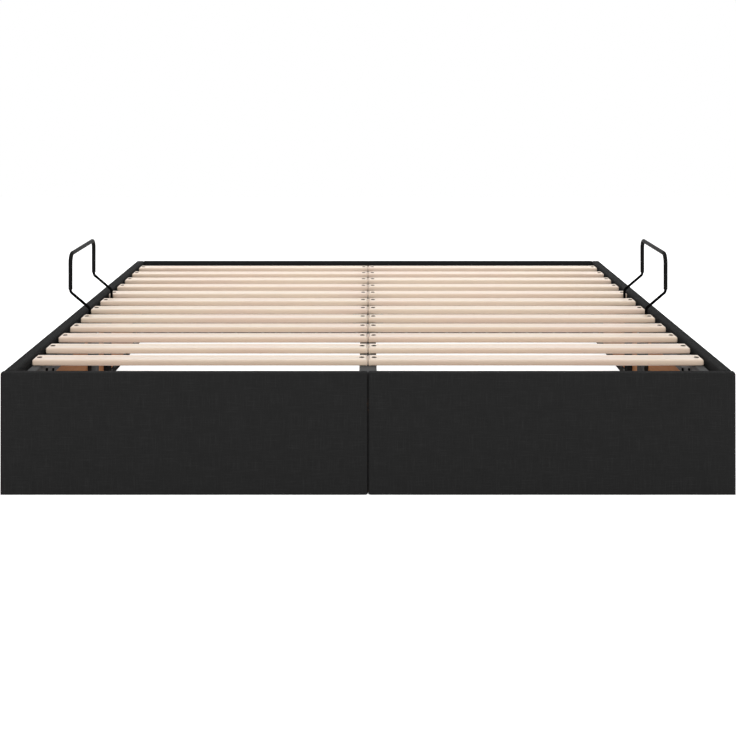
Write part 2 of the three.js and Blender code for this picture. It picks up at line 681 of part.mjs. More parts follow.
function mechanismPlate() {
  const barTop = tubeBottom - PLATE_BAR_CLEARANCE;
  const barBottom = barTop - PLATE_BAR_WIDTH;
  const postRear = POST_FROM_CENTRE + POST_FLANGE_GAP + 2 * PLATE_FLANGE_THICKNESS;
  const plateFront = lowerStud.y - PLATE_RIM;
  const outline = new THREE.Shape();
  outline.moveTo(POST_FROM_CENTRE, POST_FOOT);
  outline.lineTo(postRear, POST_FOOT);
  outline.lineTo(postRear, barBottom);
  outline.lineTo(plateFront - PLATE_BAR_WIDTH, barBottom);
  outline.lineTo(plateFront, barBottom - PLATE_BAR_WIDTH);
  outline.lineTo(plateFront, lowerStud.z);
  outline.absarc(lowerStud.y, lowerStud.z, PLATE_RIM, Math.PI, 2 * Math.PI, false);
  outline.lineTo(hinge.y + PLATE_RIM, barBottom);
  outline.absarc(hinge.y, hinge.z, PLATE_RIM, 0, Math.PI, false);
  outline.lineTo(hinge.y - PLATE_RIM, barTop);
  outline.lineTo(POST_FROM_CENTRE, barTop);
  const plate = extrudedAcross(outline, plateInner, PLATE_THICKNESS, 5);
  const flangeX = wellHalfWidth - POST_FLANGE_DEPTH;
  const flangeDepth = plateInner + OVERRUN - flangeX;
  const flange = (y) => extruded(
    rectangle(flangeX, y, flangeDepth, PLATE_FLANGE_THICKNESS), barTop - POST_FOOT)
    .translate(0, 0, POST_FOOT);
  const topFlange = extrudedAlong(
    rectangle(flangeX, barTop - PLATE_FLANGE_THICKNESS, flangeDepth, PLATE_FLANGE_THICKNESS),
    POST_FROM_CENTRE, upperStud.y - LUG_RIM - PLATE_FLANGE_END_GAP);
  const blank = join(plate, flange(POST_FROM_CENTRE), flange(postRear - PLATE_FLANGE_THICKNESS), topFlange,
    ...strutStud(lowerStud, plateInner + OVERRUN));
  const holes = [
    cylinderAcross(HINGE_PIN_RADIUS + RUNNING_GAP, plateInner - OVERRUN, wellHalfWidth + OVERRUN,
      hinge.y, hinge.z),
  ];
  const barMiddle = (barTop + barBottom) / 2;
  const postMiddle = (POST_FROM_CENTRE + postRear) / 2;
  const screws = [
    [postMiddle, POST_FOOT + SCREW_HOLE_INSET], [postMiddle, barMiddle], [plateFront, barMiddle],
    [(postMiddle + plateFront) / 2, barMiddle], [hinge.y, (lowerStud.z + barBottom) / 2],
  ];
  for (const [y, z] of screws) {
    holes.push(cylinderAcross(SCREW_HOLE_RADIUS, plateInner - OVERRUN, wellHalfWidth + OVERRUN, y, z,
      SMALL_SEGMENTS));
  }
  return cut(blank, ...holes);
}

// Shouldered pin through the side tube, its lug and the fixed plate
function hingePin() {
  const headX = tubeInner - HINGE_HEAD_HEIGHT;
  const lugFace = tubeOuter + LUG_THICKNESS;
  return join(
    cylinderAcross(HINGE_PIN_RADIUS, headX + OVERRUN, wellHalfWidth - RUNNING_GAP, hinge.y, hinge.z),
    cylinderAcross(HINGE_HEAD_RADIUS, headX, tubeInner - RUNNING_GAP, hinge.y, hinge.z),
    cylinderAcross(HINGE_HEAD_RADIUS, lugFace + RUNNING_GAP, plateInner - RUNNING_GAP, hinge.y, hinge.z),
  );
}

// Gas strut parts are turned along Z, then laid on the line between the two studs

function turned(profile) {
  return new THREE.LatheGeometry(profile.map(([r, z]) => new THREE.Vector2(r, z)), ROUND_SEGMENTS)
    .rotateX(Math.PI / 2);
}

function strutEye(height) {
  const ring = cylinderAcross(EYE_RADIUS, -EYE_WIDTH / 2, EYE_WIDTH / 2, 0, height);
  const bore = cylinderAcross(STUD_RADIUS + RUNNING_GAP, -EYE_WIDTH, EYE_WIDTH, 0, height);
  return { ring, bore };
}

function strutCylinder() {
  const bore = CYLINDER_RADIUS - CYLINDER_WALL;
  const rodHole = ROD_RADIUS + RUNNING_GAP;
  const neck = EYE_WIDTH / 2;
  const body = turned([
    [0, 0], [neck, 0], [neck, CYLINDER_BASE / 2],
    [CYLINDER_RADIUS, CYLINDER_BASE - CYLINDER_SHOULDER],
    [CYLINDER_RADIUS, cylinderMouth - CYLINDER_ROLLED_EDGE],
    [CYLINDER_RADIUS - CYLINDER_ROLLED_EDGE, cylinderMouth], [rodHole, cylinderMouth],
    [rodHole, cylinderMouth - GLAND_HEIGHT], [bore, cylinderMouth - GLAND_HEIGHT],
    [bore, CYLINDER_BASE], [0, CYLINDER_BASE],
  ]);
  const { ring, bore: eyeBore } = strutEye(0);
  return cut(join(body, ring), eyeBore);
}

// The piston sits where the full lift brings it to within the end play of the gland
function strutRod() {
  const pistonRadius = CYLINDER_RADIUS - CYLINDER_WALL - RUNNING_GAP;
  const pistonTop = cylinderMouth - GLAND_HEIGHT - strutStroke - STRUT_END_PLAY;
  const pistonBottom = pistonTop - PISTON_HEIGHT;
  const neck = EYE_WIDTH / 2;
  const neckStart = strutShut - EYE_RADIUS - EYE_NECK_LENGTH;
  const rod = turned([
    [0, pistonBottom], [pistonRadius, pistonBottom], [pistonRadius, pistonTop],
    [ROD_RADIUS, pistonTop], [ROD_RADIUS, neckStart],
    [neck, neckStart + EYE_NECK_TAPER], [neck, strutShut], [0, strutShut],
  ]);
  const { ring, bore: eyeBore } = strutEye(strutShut);
  return cut(join(rod, ring), eyeBore);
}

function laidOnStrutLine(geometry) {
  return geometry.rotateX(Math.PI / 2 - strutTilt).translate(strutPlane, lowerStud.y, lowerStud.z);
}

function makeMechanism() {
  const group = new THREE.Group();
  addBothSides(group, 'mechanism_plate', mechanismPlate(), blackSteel);
  addBothSides(group, 'hinge_pin', hingePin(), chrome);
  addBothSides(group, 'strut_cylinder', laidOnStrutLine(strutCylinder()), blackSteel);
  addBothSides(group, 'strut_rod', laidOnStrutLine(strutRod()), chrome);
  return group;
}

const bedFrame = new THREE.Group();
bedFrame.add(makeBoards(), makeBrackets(), makePads(), makeSupportChannels(), makeTubes(), makeSlats(),
  makeRetainers(), makeMechanism());

export default bedFrame;
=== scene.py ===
# Ottoman bed frame, in metres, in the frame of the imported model: X to the right seen from the foot end,
# Y towards the head end and Z up, with the origin on the floor under the middle of the bed.

import json
import math

import bmesh
import bpy
from mathutils import Matrix, Vector, noise


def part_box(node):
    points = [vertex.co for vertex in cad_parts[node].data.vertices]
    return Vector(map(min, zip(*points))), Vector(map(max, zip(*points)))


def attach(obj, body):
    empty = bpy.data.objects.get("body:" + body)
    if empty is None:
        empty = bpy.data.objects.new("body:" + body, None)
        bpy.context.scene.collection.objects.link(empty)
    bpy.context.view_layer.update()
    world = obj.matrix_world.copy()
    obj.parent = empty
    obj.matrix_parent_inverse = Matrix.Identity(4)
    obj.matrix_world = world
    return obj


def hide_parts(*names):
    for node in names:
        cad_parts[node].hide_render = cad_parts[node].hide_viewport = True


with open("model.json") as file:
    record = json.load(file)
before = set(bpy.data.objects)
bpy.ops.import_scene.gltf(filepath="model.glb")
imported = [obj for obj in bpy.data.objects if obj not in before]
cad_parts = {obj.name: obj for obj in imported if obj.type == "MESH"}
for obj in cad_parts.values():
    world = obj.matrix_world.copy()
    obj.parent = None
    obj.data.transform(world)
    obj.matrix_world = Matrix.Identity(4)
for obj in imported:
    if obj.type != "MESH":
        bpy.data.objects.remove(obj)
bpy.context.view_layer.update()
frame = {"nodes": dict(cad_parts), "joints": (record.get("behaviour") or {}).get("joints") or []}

nodes = frame["nodes"]
joints = {joint["name"]: joint for joint in frame["joints"]}
SIDES = {"right": 1, "left": -1}

# Camera: a long lens at waist height, level and square to the foot end of the bed.
# The lens is shifted down to the bed, so that its uprights stay upright in the picture.

CAMERA_LENS = 67.46
CAMERA_SHIFT = -0.4033
CAMERA_PLACE = (0, -4.444, 1.0544)


def add_object(name, data):
    """Puts a new object in the scene."""
    made = bpy.data.objects.new(name, data)
    bpy.context.scene.collection.objects.link(made)
    return made


view = bpy.data.cameras.new("camera")
view.sensor_width = 36
view.lens = CAMERA_LENS
view.shift_y = CAMERA_SHIFT
camera = add_object("camera", view)
camera.location = CAMERA_PLACE
camera.rotation_euler = (math.radians(90), 0, 0)
bpy.context.scene.camera = camera

# Wooden boards: one long board on each side, and two boards butted at the middle of each end.
# They are brown boards, left bare on the inside between the turned-in edges of their covers.

COVER_THICKNESS = 0.0009
COVER_GAP = 0.0001
COVER_RADIUS = 0.0065
HEM_FOOT = 0.030
HEM_TOP = 0.048
BUTT_REACH = 0.001
REAR_RADIUS = 0.0016
BUTT_RADIUS = 0.0048
END_RADIUS = 0.0020
FOOT_RADIUS = 0.0020
SEAM_DEPTH = 2.4


def feed(tree, given_node, inputs):
    """Fills the inputs of a node with values, or links them to sockets."""
    for name, value in inputs.items():
        if isinstance(value, bpy.types.NodeSocket):
            tree.links.new(value, given_node.inputs[name])
        else:
            given_node.inputs[name].default_value = value


def node(tree, kind, inputs=None, **settings):
    """A new node with the given inputs and settings."""
    made = tree.nodes.new(kind)
    for name, value in settings.items():
        setattr(made, name, value)
    feed(tree, made, inputs or {})
    return made


def calc(tree, operation, *terms):
    """The result of one sum on sockets and numbers."""
    return node(tree, "ShaderNodeMath", dict(enumerate(terms)), operation=operation).outputs[0]


def tinted(tree, factor, low, high):
    """A colour from low, where the factor is 0, to high, where it is 1."""
    return node(tree, "ShaderNodeMix", {0: factor, 6: low, 7: high}, data_type="RGBA").outputs[2]


def node_group(kind, name, inputs, outputs):
    """A new node group with named inputs and outputs, and its two end nodes."""
    tree = bpy.data.node_groups.new(name, kind)
    for label, socket_type, value in inputs:
        socket = tree.interface.new_socket(label, in_out="INPUT", socket_type=socket_type)
        if value is not None:
            socket.default_value = value
    for label, socket_type in outputs:
        tree.interface.new_socket(label, in_out="OUTPUT", socket_type=socket_type)
    return tree, tree.nodes.new("NodeGroupInput").outputs, tree.nodes.new("NodeGroupOutput")


def new_material(name, metallic=0.0, specular=0.5):
    """A new material, with its node tree and its shader."""
    made = bpy.data.materials.new(name)
    made.use_nodes = True
    tree, shader = made.node_tree, made.node_tree.nodes["Principled BSDF"]
    feed(tree, shader, {"Metallic": metallic, "Specular IOR Level": specular})
    return made, tree, shader


def own_place(tree):
    """Where a point lies on its piece."""
    return node(tree, "ShaderNodeTexCoord").outputs["Object"]


def bump(tree, height, distance):
    """Normals of a surface whose height changes by up to the distance."""
    return node(tree, "ShaderNodeBump", {"Distance": distance, "Height": height}).outputs["Normal"]


def wood_grain_group():
    """Fibres, figure and slow drift. Stretch is how many times each axis is squeezed."""
    tree, given, out = node_group(
        "ShaderNodeTree", "wood grain",
        [("Vector", "NodeSocketVector", None), ("Stretch", "NodeSocketVector", (1, 30, 30)),
         ("Shift", "NodeSocketFloat", 0.0)],
        [("Fibre", "NodeSocketFloat"), ("Figure", "NodeSocketFloat"), ("Drift", "NodeSocketFloat")])
    squeezed = node(tree, "ShaderNodeVectorMath", {0: given["Vector"], 1: given["Stretch"]},
                    operation="MULTIPLY").outputs[0]
    away = node(tree, "ShaderNodeVectorMath", {0: (37, 11, 23), "Scale": given["Shift"]},
                operation="SCALE").outputs[0]
    moved = node(tree, "ShaderNodeVectorMath", {0: squeezed, 1: away}, operation="ADD").outputs[0]
    fibre = node(tree, "ShaderNodeTexNoise",
                 {"Vector": moved, "Scale": 14.0, "Detail": 4.0, "Roughness": 0.65})
    figure = node(tree, "ShaderNodeTexNoise",
                  {"Vector": moved, "Scale": 1.6, "Detail": 3.0, "Distortion": 1.2})
    whole = node(tree, "ShaderNodeVectorMath", {0: given["Vector"], 1: away}, operation="ADD").outputs[0]
    drift = node(tree, "ShaderNodeTexNoise", {"Vector": whole, "Scale": 3.2, "Detail": 1.0})
    feed(tree, out, {"Fibre": fibre.outputs["Fac"], "Figure": figure.outputs["Fac"],
                     "Drift": drift.outputs["Fac"]})
    return tree


wood_grain = wood_grain_group()


def board_wood(name, stretch):
    """Brown board with a darker figure and fine pores along its length."""
    made, tree, shader = new_material(name, specular=0.06)
    grain = node(tree, "ShaderNodeGroup", {"Vector": own_place(tree), "Stretch": stretch},
                 node_tree=wood_grain).outputs
    base = tinted(tree, grain["Figure"], (0.430, 0.190, 0.082, 1), (0.680, 0.345, 0.178, 1))
    pores = calc(tree, "MULTIPLY", grain["Fibre"], 0.45)
    feed(tree, shader, {"Base Color": tinted(tree, pores, base, (0.280, 0.120, 0.055, 1)),
                        "Roughness": 0.7, "Normal": bump(tree, grain["Fibre"], 0.0002)})
    return made


def rounded_box(low, high, radius, segments):
    """A block with all its edges and corners rounded."""
    bm = bmesh.new()
    place = Matrix.Translation((low + high) / 2) @ Matrix.Diagonal((*(high - low), 1))
    bmesh.ops.create_cube(bm, size=1, matrix=place)
    bmesh.ops.bevel(bm, geom=bm.edges[:], offset=radius, segments=segments, profile=0.5,
                    affect="EDGES", clamp_overlap=True)
    return bm


def slice_at(bm, axis, places):
    """Cuts all the faces where they cross the given places on one axis."""
    normal = Vector([float(i == axis) for i in range(3)])
    for place in places:
        bmesh.ops.bisect_plane(bm, geom=bm.verts[:] + bm.edges[:] + bm.faces[:],
                               plane_co=normal * place, plane_no=normal)


def to_mesh(name, bm, smooth_below=40):
    """A mesh with soft shading across the edges that turn less than the given degrees."""
    mesh = bpy.data.meshes.new(name)
    bm.to_mesh(mesh)
    bm.free()
    mesh.polygons.foreach_set("use_smooth", [True] * len(mesh.polygons))
    mesh.set_sharp_from_angle(angle=math.radians(smooth_below))
    return mesh


def add_piece(name, shape, finish, body, replaced=()):
    """Puts a finished shape in the scene, on its body, in place of the solids that it stands for."""
    mesh = to_mesh(name, shape) if isinstance(shape, bmesh.types.BMesh) else shape
    piece = add_object(name, mesh)
    mesh.materials.clear()
    mesh.materials.append(finish)
    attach(piece, body)
    if replaced:
        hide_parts(*replaced)
    return piece


# Each board: its length runs along one axis, and its bare face looks into the bed along another.
# Folds are the ends where the cloth is folded tighter than on the long edges, and how tightly.
boards = {}
side_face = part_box("side_board_right")[0].x
for side, sign in SIDES.items():
    outer_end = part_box(f"front_panel_{side}")[sign > 0].x
    boards[f"front_panel_{side}"] = {"along": 0, "inward": Vector((0, 1, 0)), "radius": COVER_RADIUS,
                                     "folds": {0: BUTT_RADIUS, outer_end: END_RADIUS}}
    boards[f"rear_panel_{side}"] = {"along": 0, "inward": Vector((0, -1, 0)), "radius": REAR_RADIUS,
                                    "folds": {}}
    boards[f"side_board_{side}"] = {"along": 1, "inward": Vector((-sign, 0, 0)), "radius": COVER_RADIUS,
                                    "folds": {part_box(f"side_board_{side}")[1].y: BUTT_RADIUS}}
for name, board in boards.items():
    board["low"], board["high"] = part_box(name)
    for corner in (board["low"], board["high"]):
        for butt in (0, side_face, -side_face):
            if abs(corner.x - butt) < BUTT_REACH:
                corner.x = butt


def bare_middle(bm, board):
    """The faces between the hems on the inner side of a board."""
    middle = (board["low"].z + board["high"].z) / 2
    return [face for face in bm.faces if face.normal.dot(board["inward"]) > 0.999
            and abs(face.calc_center_median().z - middle) < middle / 2]


def make_core(board):
    """A board that fits inside its cover, raised between the hems to lie flush with them."""
    inset = Vector.Fill(3, COVER_THICKNESS + COVER_GAP)
    low, high = board["low"] + inset, board["high"] - inset
    bm = rounded_box(low, high, board["radius"] - inset.x, 4)
    slice_at(bm, 2, [HEM_FOOT + COVER_GAP, high.z - HEM_TOP - COVER_GAP])
    bmesh.ops.inset_region(bm, faces=bare_middle(bm, board), thickness=COVER_GAP, depth=inset.x,
                           use_even_offset=True)
    return bm


wood_along = {0: board_wood("board along the width", (1.2, 30, 30)),
              1: board_wood("board along the length", (30, 1.2, 30))}
for name, board in boards.items():
    add_piece(name + "_wood", make_core(board), wood_along[board["along"]], "box")

# Covers: one piece of dark woven cloth pulled tight over each board and turned in at its edges.
# The cloth is folded round the ends, stapled inside, and leaves the middle of the inner face bare.

WEAVE_THREADS = 1350
SLUB_LENGTH = 0.022
CLOTH_STEP = 0.02
CLOTH_SWELL = 0.00022


def spread(tree, value, low, high, to_low=0.0, to_high=1.0):
    """The value, with what lies between low and high spread over a new range and the rest cut off."""
    return node(tree, "ShaderNodeMapRange", {"Value": value, "From Min": low, "From Max": high,
                                             "To Min": to_low, "To Max": to_high}).outputs["Result"]


def woven_cloth_group():
    """A plain weave with slubs both ways. Vector is in metres over the cloth."""
    tree, given, out = node_group(
        "ShaderNodeTree", "woven cloth",
        [("Vector", "NodeSocketVector", None), ("Threads", "NodeSocketFloat", 1000.0),
         ("Slub length", "NodeSocketFloat", 0.02)],
        [("Height", "NodeSocketFloat"), ("Slub", "NodeSocketFloat"), ("Cloud", "NodeSocketFloat")])
    across = node(tree, "ShaderNodeSeparateXYZ", {"Vector": given["Vector"]}).outputs
    turns = calc(tree, "MULTIPLY", given["Threads"], math.pi)
    warp = calc(tree, "SINE", calc(tree, "MULTIPLY", across["X"], turns))
    weft = calc(tree, "SINE", calc(tree, "MULTIPLY", across["Y"], turns))
    over = calc(tree, "GREATER_THAN", calc(tree, "MULTIPLY", warp, weft), 0.0)
    under = calc(tree, "SUBTRACT", 1.0, over)
    height = calc(tree, "ADD",
                  calc(tree, "MULTIPLY", calc(tree, "ABSOLUTE", warp), over),
                  calc(tree, "MULTIPLY", calc(tree, "ABSOLUTE", weft), under))
    slow = calc(tree, "DIVIDE", 1.0, given["Slub length"])
    slubs = []
    for x, y in ((slow, given["Threads"]), (given["Threads"], slow)):
        place = node(tree, "ShaderNodeCombineXYZ",
                     {"X": calc(tree, "MULTIPLY", across["X"], x),
                      "Y": calc(tree, "MULTIPLY", across["Y"], y)}).outputs[0]
        streak = node(tree, "ShaderNodeTexNoise", {"Vector": place, "Scale": 0.42, "Detail": 2.0})
        slubs.append(spread(tree, streak.outputs["Fac"], 0.52, 0.8))
    slub = calc(tree, "ADD", *slubs)
    cloud = node(tree, "ShaderNodeTexNoise", {"Vector": given["Vector"], "Scale": 26.0, "Detail": 3.0})
    feed(tree, out, {"Height": calc(tree, "ADD", height, slub), "Slub": slub,
                     "Cloud": cloud.outputs["Fac"]})
    return tree


def upholstery_cloth():
    """Charcoal cloth: matt, with a little sheen from its fibre ends."""
    made, tree, shader = new_material("charcoal cloth", specular=0.05)
    over_cloth = node(tree, "ShaderNodeUVMap", uv_map="cloth").outputs["UV"]
    weave = node(tree, "ShaderNodeGroup",
                 {"Vector": over_cloth, "Threads": WEAVE_THREADS, "Slub length": SLUB_LENGTH},
                 node_tree=woven_cloth_group()).outputs
    base = tinted(tree, weave["Cloud"], (0.0215, 0.0215, 0.0215, 1), (0.0262, 0.0262, 0.0262, 1))
    threads = calc(tree, "MULTIPLY", weave["Slub"], 0.5)
    feed(tree, shader, {"Base Color": tinted(tree, threads, base, (0.041, 0.041, 0.041, 1)),
                        "Roughness": 0.95, "Sheen Weight": 0.02, "Sheen Roughness": 0.6,
                        "Normal": bump(tree, weave["Height"], 0.00035)})
    return made


def lay_weave(bm, board):
    """Cloth coordinates in metres: along the board, and round it from the outer face to the inner one."""
    layer = bm.loops.layers.uv.new("cloth")
    along, inward = board["along"], board["inward"]
    face_at = min(board["low"].dot(inward), board["high"].dot(inward))
    depth = abs((board["high"] - board["low"]).dot(inward))
    height = board["high"].z
    for face in bm.faces:
        turned = face.normal.dot(inward)
        upright = face.normal.z
        endways = abs(face.normal[along])
        for loop in face.loops:
            co = loop.vert.co
            into = co.dot(inward) - face_at
            if endways > max(abs(turned), abs(upright)):
                loop[layer].uv = (into, co.z)
            elif abs(upright) > abs(turned):
                loop[layer].uv = (co[along], height + into if upright > 0 else -into)
            elif turned > 0:
                loop[layer].uv = (co[along], 2 * height + depth - co.z)
            else:
                loop[layer].uv = (co[along], co.z)


def make_cover(board):
    """The cloth's outer skin, open over the bare middle of the inner face, and a little uneven."""
    low, high, along, inward = board["low"], board["high"], board["along"], board["inward"]
    radius = board["radius"]
    face_at = min(low.dot(inward), high.dot(inward))
    bm = rounded_box(low, high, radius, 5)
    for fold, tighter in board["folds"].items():
        for vert in bm.verts:
            way = vert.co[along] - fold
            if abs(way) < radius:
                vert.co[along] = fold + way * tighter / radius
                into = vert.co.dot(inward) - face_at
                if fold == 0 and into < radius * 1.01:
                    vert.co += inward * into * (SEAM_DEPTH - 1)
    for vert in bm.verts:
        if vert.co.z < radius:
            vert.co.z *= FOOT_RADIUS / radius
    slice_at(bm, 2, [HEM_FOOT, high.z - HEM_TOP])
    bmesh.ops.delete(bm, geom=bare_middle(bm, board), context="FACES")
    for axis in (along, 2):
        count = math.ceil((high[axis] - low[axis]) / CLOTH_STEP)
        slice_at(bm, axis, [low[axis] + (high[axis] - low[axis]) * i / count for i in range(1, count)])
    bm.normal_update()
    swell = {}
    for vert in bm.verts:
        slow = noise.noise(vert.co * 11)
        quick = noise.noise(vert.co * 37 + Vector((5, 3, 1)))
        swell[vert] = vert.normal * CLOTH_SWELL * max(0.0, 0.55 + 0.6 * slow + 0.3 * quick)
    for vert, step in swell.items():
        vert.co += step
    lay_weave(bm, board)
    return bm


cloth = upholstery_cloth()
for name, board in boards.items():
    cover = add_piece(name + "_cover", make_cover(board), cloth, "box", [name])
    wall = cover.modifiers.new("thickness", "SOLIDIFY")
    wall.thickness = COVER_THICKNESS
    wall.offset = -1

# Staples: steel wire staples that hold the turned-in edges of the cloth, in rows inside the boards.
# They are driven in by hand at about a thumb's length from each other.

STAPLE_SPACING = 0.052
STAPLE_LENGTH = 0.010
STAPLE_WIRE = 0.0011
STAPLE_ROUNDNESS = 0.45
STAPLE_FROM_EDGE = 0.008
STAPLE_END_MARGIN = 0.045


def geometry_tree(name, inputs):
    return node_group("GeometryNodeTree", name, inputs, [("Geometry", "NodeSocketGeometry")])


def settled_mesh(piece, helpers):
    """The mesh of an object once its modifiers are run. The object and its helpers are taken out."""
    graph = bpy.context.evaluated_depsgraph_get()
    mesh = bpy.data.meshes.new_from_object(piece.evaluated_get(graph), depsgraph=graph)
    for used in (piece, *helpers):
        bpy.data.objects.remove(used)
    return mesh


def run_tree(name, tree, shapes, values):
    """Runs a geometry tree once, on the meshes in shapes and with the given values."""
    holder = add_object(name, bpy.data.meshes.new(name))
    modifier = holder.modifiers.new("tree", "NODES")
    modifier.node_group = tree
    helpers = {label: add_object(name + " " + label, shape) for label, shape in shapes.items()}
    for item in tree.interface.items_tree:
        if item.in_out == "INPUT":
            modifier[item.identifier] = helpers.get(item.name) or values[item.name]
    mesh = settled_mesh(holder, helpers.values())
    mesh.name = name
    return mesh


def points_mesh(places, edges=()):
    """Points, joined by the given edges, each with the way that a copy on it faces."""
    mesh = bpy.data.meshes.new("places")
    mesh.from_pydata([place for place, _ in places], edges, [])
    facing = mesh.attributes.new("facing", "FLOAT_VECTOR", "POINT")
    facing.data.foreach_set("vector", [value for _, way in places for value in way])
    return mesh


def copies_along_tree():
    """Copies of a piece at even steps along lines, turned to the line and to the way they face."""
    tree, given, out = geometry_tree(
        "copies along lines",
        [("Places", "NodeSocketObject", None), ("Piece", "NodeSocketObject", None),
         ("Spacing", "NodeSocketFloat", 0.05), ("Uneven turn", "NodeSocketFloat", 0.0),
         ("Uneven size", "NodeSocketFloat", 0.0), ("Material", "NodeSocketMaterial", None)])
    lines = node(tree, "GeometryNodeObjectInfo", {"Object": given["Places"]}).outputs["Geometry"]
    curve = node(tree, "GeometryNodeMeshToCurve", {"Mesh": lines}).outputs["Curve"]
    steps = node(tree, "GeometryNodeResampleCurve", {"Curve": curve, "Length": given["Spacing"]},
                 mode="LENGTH").outputs["Curve"]
    tangent = node(tree, "GeometryNodeInputTangent").outputs["Tangent"]
    facing = node(tree, "GeometryNodeInputNamedAttribute", {"Name": "facing"},
                  data_type="FLOAT_VECTOR").outputs["Attribute"]
    least = calc(tree, "MULTIPLY", given["Uneven turn"], -1.0)
    turn = node(tree, "FunctionNodeRandomValue", {2: least, 3: given["Uneven turn"], "Seed": 3}).outputs[1]
    along = node(tree, "FunctionNodeAlignRotationToVector", {"Vector": tangent}, axis="X").outputs[0]
    faced = node(tree, "FunctionNodeAlignRotationToVector", {"Rotation": along, "Vector": facing},
                 axis="Z", pivot_axis="X").outputs[0]
    spin = node(tree, "FunctionNodeAxisAngleToRotation", {"Axis": (0, 0, 1), "Angle": turn}).outputs[0]
    turned = node(tree, "FunctionNodeRotateRotation", {"Rotation": faced, "Rotate By": spin},
                  rotation_space="LOCAL").outputs[0]
    smallest = calc(tree, "SUBTRACT", 1.0, given["Uneven size"])
    size = node(tree, "FunctionNodeRandomValue", {2: smallest, 3: 1.0, "Seed": 5}).outputs[1]
    piece = node(tree, "GeometryNodeObjectInfo", {"Object": given["Piece"]}).outputs["Geometry"]
    placed = node(tree, "GeometryNodeInstanceOnPoints",
                  {"Points": steps, "Instance": piece, "Rotation": turned, "Scale": size}).outputs[0]
    close_tree(tree, placed, given["Material"], out)
    return tree


def close_tree(tree, instances, finish, out):
    """Makes the copies real, gives them their material and ends the tree."""
    real = node(tree, "GeometryNodeRealizeInstances", {"Geometry": instances}).outputs[0]
    done = node(tree, "GeometryNodeSetMaterial", {"Geometry": real, "Material": finish}).outputs[0]
    tree.links.new(done, out.inputs["Geometry"])


copies_along = copies_along_tree()


def copies_on_lines(name, lines, piece, spacing, finish, uneven_turn=0.0, uneven_size=0.0):
    """One mesh of copies of a piece on lines of (start, end, facing)."""
    places = [(end, facing) for start, stop, facing in lines for end in (start, stop)]
    edges = [(2 * i, 2 * i + 1) for i in range(len(lines))]
    return run_tree(name, copies_along, {"Places": points_mesh(places, edges), "Piece": piece},
                    {"Spacing": spacing, "Uneven turn": uneven_turn, "Uneven size": uneven_size,
                     "Material": finish})


def speckle(tree, scale, detail):
    """A fine even pattern all over a piece, from 0 to 1."""
    return node(tree, "ShaderNodeTexNoise", {"Vector": own_place(tree), "Scale": scale, "Detail": detail}
                ).outputs["Fac"]


def zinc_steel():
    """Zinc-plated steel, a little clouded."""
    made, tree, shader = new_material("zinc-plated steel", metallic=1.0)
    cloud = speckle(tree, 900.0, 3.0)
    feed(tree, shader, {"Base Color": tinted(tree, cloud, (0.36, 0.36, 0.35, 1), (0.62, 0.63, 0.64, 1)),
                        "Roughness": calc(tree, "MULTIPLY_ADD", cloud, 0.3, 0.2)})
    return made


def make_staple():
    """The back of a staple, half sunk in the cloth."""
    half = STAPLE_WIRE / 2
    bm = rounded_box(Vector((-STAPLE_LENGTH / 2, -half, 0)), Vector((STAPLE_LENGTH / 2, half, half)),
                     half * STAPLE_ROUNDNESS, 1)
    return to_mesh("staple", bm)


well_low = Vector((boards["side_board_left"]["high"].x, boards["front_panel_left"]["high"].y, 0))
well_high = Vector((boards["side_board_right"]["low"].x, boards["rear_panel_left"]["low"].y, 0))
staple_lines = []
for board in boards.values():
    along, inward, low, high = board["along"], board["inward"], board["low"], board["high"]
    face = max(low.dot(inward), high.dot(inward)) * inward
    for z in (HEM_FOOT - STAPLE_FROM_EDGE, high.z - HEM_TOP + STAPLE_FROM_EDGE):
        start, stop = Vector(face), Vector(face)
        start[along] = max(low[along], well_low[along]) + STAPLE_END_MARGIN
        stop[along] = min(high[along], well_high[along]) - STAPLE_END_MARGIN
        start.z = stop.z = z
        staple_lines.append((start, stop, inward))
zinc = zinc_steel()
staples = copies_on_lines("staples", staple_lines, make_staple(), STAPLE_SPACING, zinc, uneven_turn=0.12)
add_piece("staples", staples, zinc, "box")

# Brackets and plates: pressed steel, powder-coated dull black, screwed to the bare inside of the boards.
# Angles hold the four corners and plates the two seams. Shelves on the front ones carry the rubber pads.

ARRIS = 0.0005
COAT_PEEL = 0.00006


def powder_coat_group():
    """The fine orange peel of a powder coat, and the slow change of its gloss."""
    tree, given, out = node_group(
        "ShaderNodeTree", "powder coat", [("Vector", "NodeSocketVector", None)],
        [("Peel", "NodeSocketFloat"), ("Gloss", "NodeSocketFloat")])
    peel = node(tree, "ShaderNodeTexNoise", {"Vector": given["Vector"], "Scale": 800.0, "Detail": 2.0})
    gloss = node(tree, "ShaderNodeTexNoise", {"Vector": given["Vector"], "Scale": 9.0, "Detail": 4.0})
    feed(tree, out, {"Peel": peel.outputs["Fac"], "Gloss": gloss.outputs["Fac"]})
    return tree


powder_coat = powder_coat_group()


def coated_steel(name, colour, lighter, roughest, smoothest, specular):
    """Steel under a powder coat, with colours and roughnesses for its dullest and its glossiest places."""
    made, tree, shader = new_material(name, specular=specular)
    coat = node(tree, "ShaderNodeGroup", {"Vector": own_place(tree)}, node_tree=powder_coat).outputs
    feed(tree, shader, {"Base Color": tinted(tree, coat["Gloss"], colour, lighter),
                        "Roughness": spread(tree, coat["Gloss"], 0.3, 0.7, roughest, smoothest),
                        "Normal": bump(tree, coat["Peel"], COAT_PEEL)})
    return made


dull_black = coated_steel("dull black coat", (0.020, 0.020, 0.020, 1), (0.034, 0.034, 0.034, 1),
                          0.6, 0.5, specular=0.02)


